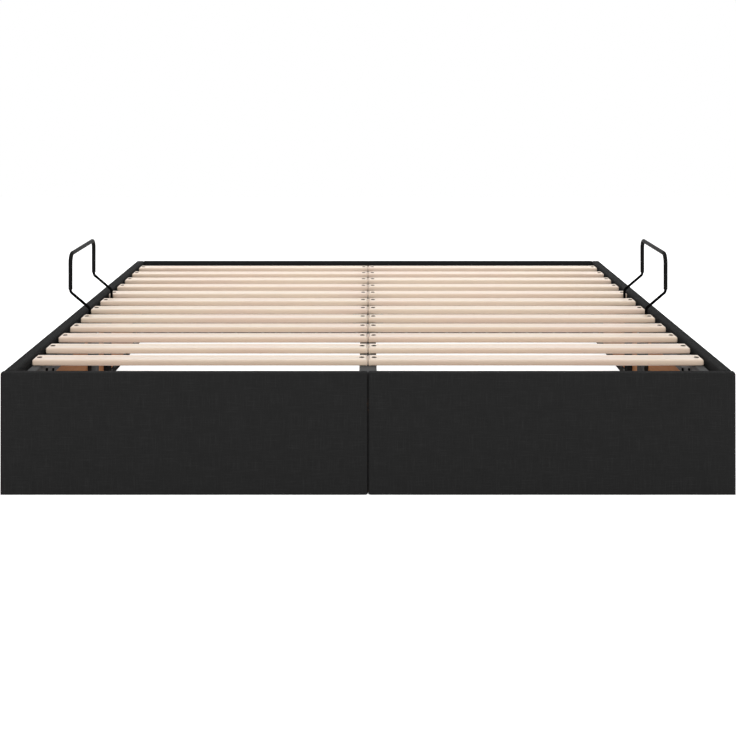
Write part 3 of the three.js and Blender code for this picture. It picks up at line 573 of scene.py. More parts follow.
def eased_copy(node_name):
    """A copy of a steel piece with its arrises eased, as a coat leaves them."""
    bm = bmesh.new()
    bm.from_mesh(nodes[node_name].data)
    bmesh.ops.remove_doubles(bm, verts=bm.verts, dist=1e-5)
    bmesh.ops.dissolve_limit(bm, angle_limit=math.radians(1), verts=bm.verts, edges=bm.edges)
    sharp = [edge for edge in bm.edges
             if len(edge.link_faces) == 2 and edge.calc_face_angle(0) > math.radians(60)]
    bmesh.ops.bevel(bm, geom=sharp, offset=ARRIS, segments=2, profile=0.6, affect="EDGES",
                    clamp_overlap=True)
    return to_mesh(node_name + "_coated", bm, smooth_below=35)


fixed_steel = ["seam_bracket_front", "seam_plate_rear"]
for side in SIDES:
    fixed_steel += [f"corner_bracket_front_{side}", f"corner_bracket_rear_{side}", f"support_channel_{side}",
                    f"mechanism_plate_{side}"]
for name in fixed_steel:
    add_piece(name + "_coated", eased_copy(name), dull_black, "box", [name])

# Bracket screws: pan-head wood screws with a cross recess, one in each hole of the brackets and plates, and
# one more on each fixed plate, below its bar, where its solid has no hole. Each one stops at its own turn.

SCREW_HEAD_RADIUS = 0.0065
SCREW_HEAD_HEIGHT = 0.0028
CROSS_LENGTH = 0.0034
CROSS_WIDTH = 0.0008
CROSS_DEPTH = 0.0016
CROSS_TAPER = 0.7
PLATE_STEEL = 0.003
SCREW_FOOT_INSET = 0.024
SCREW_TOP_INSET = 0.038
SCREW_CORNER_REACH = 0.029
CHANNEL_SCREW_INSET = 0.024
POST_MIDDLE = 0.0215
BAR_GAP = 0.008
BAR_WIDTH = 0.040
PLATE_RIM = 0.022
MECHANISM_STEEL = 0.004


def copies_on_points_tree():
    """A copy on each point, facing the way that the point says, spun by up to half a turn."""
    tree, given, out = geometry_tree(
        "copies on points",
        [("Places", "NodeSocketObject", None), ("Piece", "NodeSocketObject", None),
         ("Seed", "NodeSocketInt", 0), ("Material", "NodeSocketMaterial", None)])
    points = node(tree, "GeometryNodeObjectInfo", {"Object": given["Places"]}).outputs["Geometry"]
    piece = node(tree, "GeometryNodeObjectInfo", {"Object": given["Piece"]}).outputs["Geometry"]
    facing = node(tree, "GeometryNodeInputNamedAttribute", {"Name": "facing"},
                  data_type="FLOAT_VECTOR").outputs["Attribute"]
    faced = node(tree, "FunctionNodeAlignRotationToVector", {"Vector": facing}, axis="Z").outputs[0]
    turn = node(tree, "FunctionNodeRandomValue", {2: 0.0, 3: math.pi, "Seed": given["Seed"]}).outputs[1]
    spin = node(tree, "FunctionNodeAxisAngleToRotation", {"Axis": (0, 0, 1), "Angle": turn}).outputs[0]
    turned_in = node(tree, "FunctionNodeRotateRotation", {"Rotation": faced, "Rotate By": spin},
                     rotation_space="LOCAL").outputs[0]
    placed = node(tree, "GeometryNodeInstanceOnPoints",
                  {"Points": points, "Instance": piece, "Rotation": turned_in}).outputs[0]
    close_tree(tree, placed, given["Material"], out)
    return tree


copies_on_points = copies_on_points_tree()


def add_copies(name, places, piece, finish, body, seed):
    """Adds one piece made of copies, on places of (place, facing)."""
    mesh = run_tree(name, copies_on_points, {"Places": points_mesh(places), "Piece": piece},
                    {"Seed": seed, "Material": finish})
    add_piece(name, mesh, finish, body)


def bridge(bm, lower, upper):
    """Faces between two rings. A ring of one point closes the shape."""
    count = max(len(lower), len(upper))
    for i in range(count):
        j = (i + 1) % count
        corners = [lower[i % len(lower)], lower[j % len(lower)],
                   upper[j % len(upper)], upper[i % len(upper)]]
        bm.faces.new(list(dict.fromkeys(corners)))


def ring(bm, radius, height, count):
    """A ring of points round Z, or one point where the radius is 0."""
    if radius == 0:
        return [bm.verts.new((0, 0, height))]
    turns = [2 * math.pi * i / count for i in range(count)]
    return [bm.verts.new((radius * math.cos(a), radius * math.sin(a), height)) for a in turns]


def turned(profile, count=40, closed=False):
    """A shape turned round Z from pairs of radius and height, which rise on the outside."""
    bm = bmesh.new()
    rings = [ring(bm, radius, height, count) for radius, height in profile]
    for lower, upper in zip(rings, rings[1:] + rings[:1] if closed else rings[1:]):
        bridge(bm, lower, upper)
    return bm


def ring_found(bm, radius, height):
    """The ring of points at a radius and height, in turning order."""
    found = [vert for vert in bm.verts if (Vector((vert.co.to_2d().length, vert.co.z))
                                           - Vector((radius, height))).length < 1e-6]
    return sorted(found, key=lambda vert: round(math.atan2(vert.co.y, vert.co.x), 4) % (2 * math.pi))


def cross_head(profile):
    """A turned head of 16 facets whose top has a cross recess."""
    bm = turned(profile, count=16)
    top = profile[-1][1]
    rim = ring_found(bm, *profile[-1])
    arm, half = CROSS_LENGTH, CROSS_WIDTH
    quarter = [(arm, 0), (arm, half), (half, half), (half, arm)]
    outline = []
    for _ in range(4):
        outline += quarter
        quarter = [(-y, x) for x, y in quarter]
    mouth = [bm.verts.new((x, y, top)) for x, y in outline]
    floor = [bm.verts.new((CROSS_TAPER * x, CROSS_TAPER * y, top - CROSS_DEPTH)) for x, y in outline]
    bridge(bm, rim, mouth)
    bridge(bm, mouth, floor)
    bridge(bm, floor, ring(bm, 0, top - CROSS_DEPTH, 16))
    return bm


def pan_screw():
    """A low dome with a flat top, over an upright rim of a quarter of its height."""
    profile = [(0, 0), (SCREW_HEAD_RADIUS, 0)]
    for step in range(5):
        slope = math.pi / 2 * step / 6
        profile.append((SCREW_HEAD_RADIUS * (0.35 + 0.65 * math.cos(slope)),
                        SCREW_HEAD_HEIGHT * (0.25 + 0.75 * math.sin(slope) / math.sin(math.pi / 3))))
    return to_mesh("pan screw", cross_head(profile), smooth_below=35)


bracket_screws = []
for side, sign in SIDES.items():
    inward = Vector((-sign, 0, 0))
    wall = sign * well_high.x
    for end, way in (("front", 1), ("rear", -1)):
        low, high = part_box(f"corner_bracket_{end}_{side}")
        corner = low.y if way > 0 else high.y
        for z in (low.z + SCREW_FOOT_INSET, high.z - SCREW_TOP_INSET):
            for out, back, facing in ((PLATE_STEEL, SCREW_CORNER_REACH, inward),
                                      (SCREW_CORNER_REACH, PLATE_STEEL, Vector((0, way, 0)))):
                bracket_screws.append((Vector((wall - sign * out, corner + way * back, z)), facing))
    low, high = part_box(f"support_channel_{side}")
    face = low.x if sign > 0 else high.x
    for y in (low.y + CHANNEL_SCREW_INSET, high.y - CHANNEL_SCREW_INSET):
        for z in (low.z + CHANNEL_SCREW_INSET, high.z - CHANNEL_SCREW_INSET):
            bracket_screws.append((Vector((face, y, z)), inward))
    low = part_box(f"mechanism_plate_{side}")[0]
    stud, hinge = (Vector(joints[name]["pos_m"]) for name in (f"strut_lower_pivot_{side}", "lift"))
    post, plate_front = low.y + POST_MIDDLE, stud.y - PLATE_RIM
    bar_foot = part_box("cross_tube_front")[0].z - BAR_GAP - BAR_WIDTH
    bar_middle = bar_foot + BAR_WIDTH / 2
    face = wall - sign * MECHANISM_STEEL
    for y, z in ((post, low.z + SCREW_FOOT_INSET), (post, bar_middle), (plate_front, bar_middle),
                 ((post + plate_front) / 2, bar_middle), ((stud.y + hinge.y) / 2, (stud.z + bar_foot) / 2)):
        bracket_screws.append((Vector((face, y, z)), inward))
for name, way in (("seam_bracket_front", 1), ("seam_plate_rear", -1)):
    low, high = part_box(name)
    face = low.y + PLATE_STEEL if way > 0 else high.y - PLATE_STEEL
    for x in (low.x + SCREW_FOOT_INSET, high.x - SCREW_FOOT_INSET):
        for z in (low.z + SCREW_FOOT_INSET, high.z - SCREW_TOP_INSET):
            bracket_screws.append((Vector((x, face, z)), Vector((0, way, 0))))
add_copies("bracket_screws", bracket_screws, pan_screw(), zinc, "box", seed=7)

# Rest pads: three moulded rubber buttons on the front shelves, for the lifting frame to come down on.
# Each is held by a screw sunk in its middle.

PAD_EDGE = 0.0012
PAD_DIMPLE_RADIUS = 0.0078
PAD_DIMPLE_DEPTH = 0.0031
PAD_DIMPLE_EDGE = 0.0005


def soft_rubber():
    """Matt black rubber with a fine moulded grain."""
    made, tree, shader = new_material("black rubber", specular=0.3)
    grain = speckle(tree, 1500.0, 2.0)
    colour = tinted(tree, grain, (0.010, 0.010, 0.010, 1), (0.020, 0.020, 0.020, 1))
    feed(tree, shader, {"Base Color": colour, "Roughness": 0.78, "Normal": bump(tree, grain, 0.0001)})
    return made


def make_pad(low, high):
    """A round button with an eased rim and a dimple in its top."""
    radius, height = (high.x - low.x) / 2, high.z - low.z
    dimple, floor = PAD_DIMPLE_RADIUS, height - PAD_DIMPLE_DEPTH
    bm = turned([
        (0, 0), (radius, 0), (radius, height - PAD_EDGE),
        (radius - 0.3 * PAD_EDGE, height - 0.3 * PAD_EDGE), (radius - PAD_EDGE, height),
        (dimple, height), (dimple - PAD_DIMPLE_EDGE, height - 0.8 * PAD_DIMPLE_EDGE),
        (dimple - 1.4 * PAD_DIMPLE_EDGE, floor), (0, floor)], count=48)
    bm.transform(Matrix.Translation(((low.x + high.x) / 2, (low.y + high.y) / 2, low.z)))
    return bm


rubber = soft_rubber()
pad_screws = []
for name in ("rest_pad_right", "rest_pad_left", "rest_pad_centre"):
    low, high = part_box(name)
    add_piece(name + "_rubber", make_pad(low, high), rubber, "box", [name])
    pad_screws.append((Vector(((low.x + high.x) / 2, (low.y + high.y) / 2, high.z - PAD_DIMPLE_DEPTH)),
                       Vector((0, 0, 1))))
add_copies("pad_screws", pad_screws, pan_screw(), zinc, "box", seed=13)

# Lifting frame: rectangular steel tube, welded at the joints and coated black like the brackets.
# A plug closes each open end of the two side tubes.

WELD_STEP = 0.0021
WELD_BEAD = 0.0022
WELD_FLATNESS = 0.75
PLUG_FLANGE = 0.0028
PLUG_EDGE = 0.0011

satin_black = coated_steel("satin black coat", (0.060, 0.060, 0.0605, 1), (0.085, 0.085, 0.0855, 1),
                           0.55, 0.45, specular=0.06)
for name in ("side_tube_right", "side_tube_left", "cross_tube_front", "cross_tube_rear", "centre_beam"):
    add_piece(name + "_coated", eased_copy(name), satin_black, "lifting_frame", [name])


def weld_ripple():
    """One ripple of a weld bead: a flattened ball of few faces."""
    bm = bmesh.new()
    bmesh.ops.create_uvsphere(bm, u_segments=8, v_segments=4, radius=WELD_BEAD)
    bm.transform(Matrix.Diagonal((WELD_FLATNESS, 1, 1, 1)))
    return to_mesh("weld ripple", bm, smooth_below=80)


def weld_loop(corners):
    """Lines for a weld all the way round a tube's end."""
    ends = corners[1:] + corners[:1]
    return [(Vector(start), Vector(stop), Vector((0, 0, 1))) for start, stop in zip(corners, ends)]


weld_lines = []
rail_low, rail_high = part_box("cross_tube_front")
for name in ("cross_tube_front", "cross_tube_rear"):
    low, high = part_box(name)
    for x in (low.x, high.x):
        weld_lines += weld_loop([(x, low.y, low.z), (x, high.y, low.z), (x, high.y, high.z),
                                 (x, low.y, high.z)])
low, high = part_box("centre_beam")
for y in (low.y, high.y):
    weld_lines += weld_loop([(low.x, y, low.z), (high.x, y, low.z), (high.x, y, high.z), (low.x, y, high.z)])
welds = copies_on_lines("welds", weld_lines, weld_ripple(), WELD_STEP, satin_black,
                        uneven_turn=0.3, uneven_size=0.25)
add_piece("welds", welds, satin_black, "lifting_frame")


def black_plastic(name, roughness, grain, specular=0.45):
    """Moulded black plastic."""
    made, tree, shader = new_material(name, specular=specular)
    mould = speckle(tree, grain, 2.0)
    colour = tinted(tree, mould, (0.0075, 0.0075, 0.0075, 1), (0.0125, 0.0125, 0.0125, 1))
    feed(tree, shader, {"Base Color": colour, "Normal": bump(tree, mould, 0.00005),
                        "Roughness": calc(tree, "MULTIPLY_ADD", mould, 0.16, roughness - 0.08)})
    return made


plug_plastic = black_plastic("plug plastic", 0.55, 2000.0)
tube_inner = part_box("cross_tube_front")[1].x
tube_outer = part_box("slat_right_01")[1].x
for side, sign in SIDES.items():
    tube_low, tube_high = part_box(f"side_tube_{side}")
    near, far = sorted((sign * tube_inner, sign * tube_outer))
    for end, y, way in (("front", tube_low.y, -1), ("rear", tube_high.y, 1)):
        front, back = sorted((y, y + way * PLUG_FLANGE))
        plug = rounded_box(Vector((near, front, rail_low.z)), Vector((far, back, rail_high.z)), PLUG_EDGE, 3)
        add_piece(f"tube_plug_{end}_{side}", plug, plug_plastic, "lifting_frame")

# Slats: 24 planed softwood boards in 12 rows, two to a row, which meet over the centre beam.
# Their edges are rounded over, and each end has one countersunk hole for its screw.

SLAT_ROUND = 0.0042
SLAT_CORNER = 0.0045
SLAT_BUTT_CORNER = 0.0006
SLAT_BUTT_GAP = 0.0016
SLAT_SCREW_INSETS = (0.0152, 0.0125)
SLAT_SINK_RADIUS = 0.0072
SLAT_SINK_DEPTH = 0.0038
SLAT_HOLE_RADIUS = 0.0022
SLAT_CUT_PAST = 0.001
SLAT_SCATTER = 0.0003


def slat_softwood():
    """Pale planed softwood. Each slat has its own tone, and drifts to pink in places."""
    made, tree, shader = new_material("slat softwood", specular=1.0)
    tone = node(tree, "ShaderNodeAttribute", attribute_name="slat_tone").outputs["Fac"]
    grain = node(tree, "ShaderNodeGroup",
                 {"Vector": own_place(tree), "Stretch": (1.1, 26, 26), "Shift": tone},
                 node_tree=wood_grain).outputs
    own = tinted(tree, tone, (0.930, 0.765, 0.600, 1), (0.910, 0.720, 0.550, 1))
    slow = spread(tree, grain["Drift"], 0.42, 0.66, to_high=0.7)
    drifted = tinted(tree, slow, own, (0.900, 0.685, 0.550, 1))
    rings = spread(tree, grain["Figure"], 0.5, 0.78, to_high=0.28)
    figured = tinted(tree, rings, drifted, (0.840, 0.640, 0.480, 1))
    pores = spread(tree, grain["Fibre"], 0.55, 0.8, to_high=0.12)
    feed(tree, shader, {"Base Color": tinted(tree, pores, figured, (0.700, 0.500, 0.340, 1)),
                        "Roughness": calc(tree, "MULTIPLY_ADD", grain["Fibre"], 0.12, 0.28),
                        "Coat Weight": 0.5, "Coat Roughness": 0.35,
                        "Normal": bump(tree, grain["Fibre"], 0.00003)})
    return made


def bored(mesh, tool):
    """The mesh with the tool cut out of it."""
    body, cutter = add_object("body", mesh), add_object("cutter", tool)
    modifier = body.modifiers.new("cut", "BOOLEAN")
    modifier.operation = "DIFFERENCE"
    modifier.object = cutter
    return settled_mesh(body, [cutter])


def make_slat(size):
    """One slat from its inner end at the origin, along +X, with its foot at height 0."""
    bm = bmesh.new()
    bmesh.ops.create_cube(bm, size=1, matrix=Matrix.Translation((size.x / 2, 0, size.z / 2))
                          @ Matrix.Diagonal((*size, 1)))
    upright = [edge for edge in bm.edges if abs((edge.verts[0].co - edge.verts[1].co).z) > size.z / 2]
    bmesh.ops.bevel(bm, geom=upright, offset=SLAT_CORNER, segments=3, profile=0.5, affect="EDGES")
    for vert in bm.verts:
        if vert.co.x < SLAT_CORNER * 1.01:
            vert.co.x *= SLAT_BUTT_CORNER / SLAT_CORNER
    outline = [edge for edge in bm.edges if edge.calc_face_angle(0) > math.radians(80)]
    bmesh.ops.bevel(bm, geom=outline, offset=SLAT_ROUND, segments=4, profile=0.5, affect="EDGES")
    sinks = bmesh.new()
    below, above = -SLAT_CUT_PAST, size.z + SLAT_CUT_PAST
    for x in (SLAT_SCREW_INSETS[0], size.x - SLAT_SCREW_INSETS[1]):
        sink = turned([(0, below), (SLAT_HOLE_RADIUS, below), (SLAT_HOLE_RADIUS, size.z - SLAT_SINK_DEPTH),
                       (SLAT_SINK_RADIUS, size.z), (SLAT_SINK_RADIUS, above), (0, above)], 24)
        sink.transform(Matrix.Translation((x, 0, 0)))
        add_to(sinks, sink)
    slat = bored(to_mesh("slat", bm), to_mesh("slat sinks", sinks))
    slat.set_sharp_from_angle(angle=math.radians(40))
    return slat


def add_to(bm, other):
    """Adds the faces of another shape, which is used up."""
    mesh = bpy.data.meshes.new("part")
    other.to_mesh(mesh)
    other.free()
    bm.from_mesh(mesh)
    bpy.data.meshes.remove(mesh)


def slat_rows_tree():
    """Slats side by side at an even pitch, each a hair out of line, and each with its own tone."""
    tree, given, out = geometry_tree(
        "slat rows",
        [("Slat", "NodeSocketObject", None), ("Rows", "NodeSocketInt", 12),
         ("Pitch", "NodeSocketFloat", 0.15),
         ("First place", "NodeSocketVector", None), ("Turn", "NodeSocketFloat", 0.0),
         ("Scatter", "NodeSocketFloat", 0.0), ("Seed", "NodeSocketInt", 0),
         ("Material", "NodeSocketMaterial", None)])
    step = node(tree, "ShaderNodeCombineXYZ", {"Y": given["Pitch"]}).outputs[0]
    line = node(tree, "GeometryNodeMeshLine",
                {"Count": given["Rows"], "Start Location": given["First place"], "Offset": step}).outputs[0]
    least = calc(tree, "MULTIPLY", given["Scatter"], -1.0)
    off = node(tree, "FunctionNodeRandomValue",
               {2: least, 3: given["Scatter"], "Seed": given["Seed"]}).outputs[1]
    offset = node(tree, "ShaderNodeCombineXYZ", {"Y": off}).outputs[0]
    moved = node(tree, "GeometryNodeSetPosition", {"Geometry": line, "Offset": offset}).outputs[0]
    turn = node(tree, "FunctionNodeAxisAngleToRotation",
                {"Axis": (0, 0, 1), "Angle": given["Turn"]}).outputs[0]
    slat = node(tree, "GeometryNodeObjectInfo", {"Object": given["Slat"]}).outputs["Geometry"]
    placed = node(tree, "GeometryNodeInstanceOnPoints",
                  {"Points": moved, "Instance": slat, "Rotation": turn}).outputs[0]
    tone_seed = calc(tree, "ADD", given["Seed"], 100.0)
    tone = node(tree, "FunctionNodeRandomValue", {2: 0.0, 3: 1.0, "Seed": tone_seed}).outputs[1]
    toned = node(tree, "GeometryNodeStoreNamedAttribute",
                 {"Geometry": placed, "Name": "slat_tone", "Value": tone},
                 data_type="FLOAT", domain="INSTANCE").outputs[0]
    close_tree(tree, toned, given["Material"], out)
    return tree


slat_rows = slat_rows_tree()
softwood = slat_softwood()
slat_names = {side: sorted(name for name in nodes if name.startswith(f"slat_{side}_")) for side in SIDES}
row_boxes = [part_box(name) for name in slat_names["right"]]
row_places = [(low.y + high.y) / 2 for low, high in row_boxes]
slat_low, slat_high = row_boxes[0]
slat_low.x = SLAT_BUTT_GAP / 2
slat = make_slat(slat_high - slat_low)
for side, sign in SIDES.items():
    mesh = run_tree(f"slats_{side}", slat_rows, {"Slat": slat}, {
        "Rows": len(row_places), "Pitch": row_places[1] - row_places[0],
        "First place": (sign * slat_low.x, row_places[0], slat_low.z), "Turn": 0.0 if sign > 0 else math.pi,
        "Scatter": SLAT_SCATTER, "Seed": 11 + sign, "Material": softwood})
    add_piece(f"slats_{side}", mesh, softwood, "lifting_frame", slat_names[side])

# Slat screws: one blackened countersunk screw at each end of each slat, its low dome just above the wood.
# They hold the slats down on the side tubes and on the centre beam.

SLAT_SCREW_RADIUS = 0.0070
SLAT_SCREW_DOME = 0.0010
SLAT_SCREW_HEAD = 0.0028
SLAT_SCREW_RIM = 0.0002


def blackened_steel():
    """Screws with a dark oxide finish, worn to bare steel in places."""
    made, tree, shader = new_material("blackened steel", specular=0.0)
    wear = speckle(tree, 700.0, 3.0)
    worn = spread(tree, wear, 0.5, 0.75)
    feed(tree, shader, {"Base Color": tinted(tree, worn, (0.003, 0.003, 0.003, 1), (0.010, 0.009, 0.008, 1)),
                        "Roughness": calc(tree, "MULTIPLY_ADD", wear, 0.3, 0.6)})
    return made


def sunk_screw():
    """A cone below the wood and a low dome above it."""
    profile = [(0, -SLAT_SCREW_HEAD), (SLAT_HOLE_RADIUS, -SLAT_SCREW_HEAD),
               (SLAT_SCREW_RADIUS, -SLAT_SCREW_RIM), (SLAT_SCREW_RADIUS, 0)]
    for out, up in ((0.9, 0.5), (0.75, 0.85), (0.55, 1)):
        profile.append((out * SLAT_SCREW_RADIUS, up * SLAT_SCREW_DOME))
    return to_mesh("sunk screw", cross_head(profile), smooth_below=35)


slat_screws = []
for y in row_places:
    for sign in SIDES.values():
        for x in (slat_low.x + SLAT_SCREW_INSETS[0], slat_high.x - SLAT_SCREW_INSETS[1]):
            slat_screws.append((Vector((sign * x, y, slat_high.z)), Vector((0, 0, 1))))
dark_steel = blackened_steel()
add_copies("slat_screws", slat_screws, sunk_screw(), dark_steel, "lifting_frame", seed=19)

# Frame bolts: two black hexagon bolt heads on the inner face of each side tube, near its front end.
# The second is further back and lower than the first.

BOLT_RADIUS = 0.0048
BOLT_HEAD = 0.0036
BOLT_CHAMFER_IN = 0.0008
BOLT_CHAMFER_DOWN = 0.0006
BOLT_FROM_FRONT = 0.170
BOLT_BELOW_TOP = 0.0215
BOLT_STEP_BACK = 0.075
BOLT_STEP_DOWN = 0.016


def hexagon_head():
    """A bolt head of six flats, chamfered at its top."""
    return to_mesh("hexagon head", turned([
        (0, 0), (BOLT_RADIUS, 0), (BOLT_RADIUS, BOLT_HEAD - BOLT_CHAMFER_DOWN),
        (BOLT_RADIUS - BOLT_CHAMFER_IN, BOLT_HEAD), (0, BOLT_HEAD)], count=6), smooth_below=20)


frame_bolts = []
for side, sign in SIDES.items():
    tube_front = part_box(f"side_tube_{side}")[0].y
    for step in range(2):
        frame_bolts.append((Vector((sign * tube_inner, tube_front + BOLT_FROM_FRONT + step * BOLT_STEP_BACK,
                                    rail_high.z - BOLT_BELOW_TOP - step * BOLT_STEP_DOWN)),
                            Vector((-sign, 0, 0))))
add_copies("frame_bolts", frame_bolts, hexagon_head(), dark_steel, "lifting_frame", seed=23)

# Mattress retainers: a round steel rod on each side, bent outwards over the board and up into a wide U.
# Its feet go through collars into the side tube, and a soft vinyl sleeve covers the U.

ROD_RADIUS = 0.0043
ROD_RIM = 0.0008
ROD_INSET = 0.0035
COLLAR_RADIUS = 0.008
COLLAR_HEIGHT = 0.003
COLLAR_EDGE = 0.0012
LOW_BEND_RISE = 0.032
HIGH_BEND_RISE = 0.083
LOW_BEND_RADIUS = 0.014
TOP_BEND_RADIUS = 0.028
SLEEVE_RADIUS = 0.0064
SLEEVE_BORE = 0.0044
SLEEVE_RIM = 0.0006
ROD_SIDES = 24
BEND_STEPS = 14


def eased(corners, steps=4):
    """A profile of (radius, height, easing) corners, each rounded off by its easing."""
    profile = []
    for i, (radius, height, easing) in enumerate(corners):
        here = Vector((radius, height))
        if easing == 0:
            profile.append((radius, height))
            continue
        before, after = Vector(corners[i - 1][:2]), Vector(corners[(i + 1) % len(corners)][:2])
        start = here + (before - here).normalized() * easing
        stop = here + (after - here).normalized() * easing
        for step in range(steps + 1):
            share = step / steps
            profile.append(tuple(start.lerp(here, share).lerp(here.lerp(stop, share), share)))
    return profile


def bent_path(corners, radii):
    """Straight runs between the corners, each rounded by an arc: a list of (place, direction)."""
    path = [(corners[0], (corners[1] - corners[0]).normalized())]
    for before, here, after, radius in zip(corners, corners[1:], corners[2:], radii):
        into, out = (here - before).normalized(), (after - here).normalized()
        turn = into.angle(out)
        side = (out - into * out.dot(into)).normalized()
        centre = here - into * radius * math.tan(turn / 2) + side * radius
        for step in range(BEND_STEPS + 1):
            angle = turn * step / BEND_STEPS
            path.append((centre + radius * (into * math.sin(angle) - side * math.cos(angle)),
                         into * math.cos(angle) + side * math.sin(angle)))
    path.append((corners[-1], (corners[-1] - corners[-2]).normalized()))
    return path


def swept_ring(bm, place, direction, upright, radius):
    """A ring of points across the path. Upright is kept square to the path."""
    across = direction.cross(upright)
    turns = [2 * math.pi * i / ROD_SIDES for i in range(ROD_SIDES)]
    return [bm.verts.new(place + radius * (math.cos(a) * upright + math.sin(a) * across)) for a in turns]


def swept(path, stations):
    """Rings along the path, at (number on it, way past that, radius). The last is joined to the first."""
    bm = bmesh.new()
    uprights = []
    upright = path[0][1].orthogonal().normalized()
    for _, direction in path:
        upright = (upright - direction * upright.dot(direction)).normalized()
        uprights.append(upright)
    rings = [swept_ring(bm, path[i][0] + path[i][1] * past, path[i][1], uprights[i], radius)
             for i, past, radius in stations]
    for lower, upper in zip(rings, rings[1:] + rings[:1]):
        bridge(bm, lower, upper)
    bmesh.ops.recalc_face_normals(bm, faces=bm.faces)
    return bm


def hollow_tube(path, outer, bore, rim):
    """A tube with a bore and rounded rims."""
    last = len(path) - 1
    stations = [(0, rim, bore), (0, 0.3 * rim, bore + 0.3 * rim), (0, 0, bore + rim), (0, 0, outer - rim),
                (0, 0.3 * rim, outer - 0.3 * rim)]
    stations += [(0, rim, outer)] + [(i, 0, outer) for i in range(1, last)] + [(last, -rim, outer)]
    stations += [(last, -0.3 * rim, outer - 0.3 * rim), (last, 0, outer - rim), (last, 0, bore + rim),
                 (last, -0.3 * rim, bore + 0.3 * rim), (last, -rim, bore)]
    stations += [(i, 0, bore) for i in range(last - 1, 0, -1)]
    return swept(path, stations)


def solid_rod(path, radius, rim):
    """A rod with chamfered ends. A flat strip between the two ends, inside the side tube, closes it."""
    last = len(path) - 1
    stations = [(0, 0, radius - rim), (0, rim, radius)] + [(i, 0, radius) for i in range(1, last)]
    stations += [(last, -rim, radius), (last, 0, radius - rim)]
    return swept(path, stations)


rod_coat = coated_steel("rod coat", (0.0020, 0.0020, 0.0020, 1), (0.0035, 0.0035, 0.0035, 1),
                        0.6, 0.5, specular=0.01)
sleeve_vinyl = black_plastic("sleeve vinyl", 0.5, 1400.0, specular=0.05)
tube_top = rail_high.z
bends = [LOW_BEND_RADIUS] * 2 + [TOP_BEND_RADIUS] * 2 + [LOW_BEND_RADIUS] * 2
for side, sign in SIDES.items():
    low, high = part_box(f"retainer_rod_{side}")
    foot_x = low.x + COLLAR_RADIUS if sign > 0 else high.x - COLLAR_RADIUS
    bar_x = high.x - ROD_INSET if sign > 0 else low.x + ROD_INSET
    near, far, top = low.y + COLLAR_RADIUS, high.y - COLLAR_RADIUS, high.z - ROD_INSET
    corners = [Vector((foot_x, near, low.z)), Vector((foot_x, near, tube_top + LOW_BEND_RISE)),
               Vector((bar_x, near, tube_top + HIGH_BEND_RISE)), Vector((bar_x, near, top))]
    corners += [Vector((corner.x, far, corner.z)) for corner in reversed(corners)]
    rod = solid_rod(bent_path(corners, bends), ROD_RADIUS, ROD_RIM)
    for y in (near, far):
        collar = turned(eased([
            (ROD_RADIUS, 0, 0), (COLLAR_RADIUS, 0, 0), (COLLAR_RADIUS, COLLAR_HEIGHT, COLLAR_EDGE),
            (ROD_RADIUS, COLLAR_HEIGHT, 0)]), ROD_SIDES, closed=True)
        collar.transform(Matrix.Translation((foot_x, y, tube_top)))
        add_to(rod, collar)
    rod_node, sleeve_node = f"retainer_rod_{side}", f"retainer_sleeve_{side}"
    add_piece(rod_node + "_coated", rod, rod_coat, "lifting_frame", [rod_node])
    sleeve_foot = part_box(sleeve_node)[0].z
    upper = [Vector((bar_x, near, sleeve_foot)), corners[3], corners[4], Vector((bar_x, far, sleeve_foot))]
    sleeve = hollow_tube(bent_path(upper, bends[2:4]), SLEEVE_RADIUS, SLEEVE_BORE, SLEEVE_RIM)
    add_piece(sleeve_node + "_vinyl", sleeve, sleeve_vinyl, "lifting_frame", [sleeve_node])

# Hinge pins: turned steel pins that join the side tubes to the fixed plates at the head end.
# Each has a flange between the two, and a head with a hexagon socket.

HINGE_PIN_RADIUS = 0.006
HINGE_HEAD_RADIUS = 0.011
HINGE_HEAD_HEIGHT = 0.0057
HINGE_RIM_RADIUS = 0.008
HINGE_RIM_EASING = 0.0012
HINGE_END_EASING = 0.0005
HINGE_FLANGE_FROM_END = 0.0040
HINGE_FLANGE_HEIGHT = 0.0014
HINGE_FLANGE_EASING = 0.0002
HINGE_HEAD_EASING = 0.0003
HEX_FLAT = 0.004
HEX_DEPTH = 0.0035
HEX_SIDES = 24


def turned_steel(name, roughness):
    """Bright plated steel with fine turning marks."""
    made, tree, shader = new_material(name, metallic=1.0)
    marks = speckle(tree, 320.0, 4.0)
    feed(tree, shader, {"Base Color": tinted(tree, marks, (0.60, 0.61, 0.62, 1), (0.80, 0.80, 0.80, 1)),
                        "Roughness": calc(tree, "MULTIPLY_ADD", marks, 0.14, roughness - 0.07)})
    return made


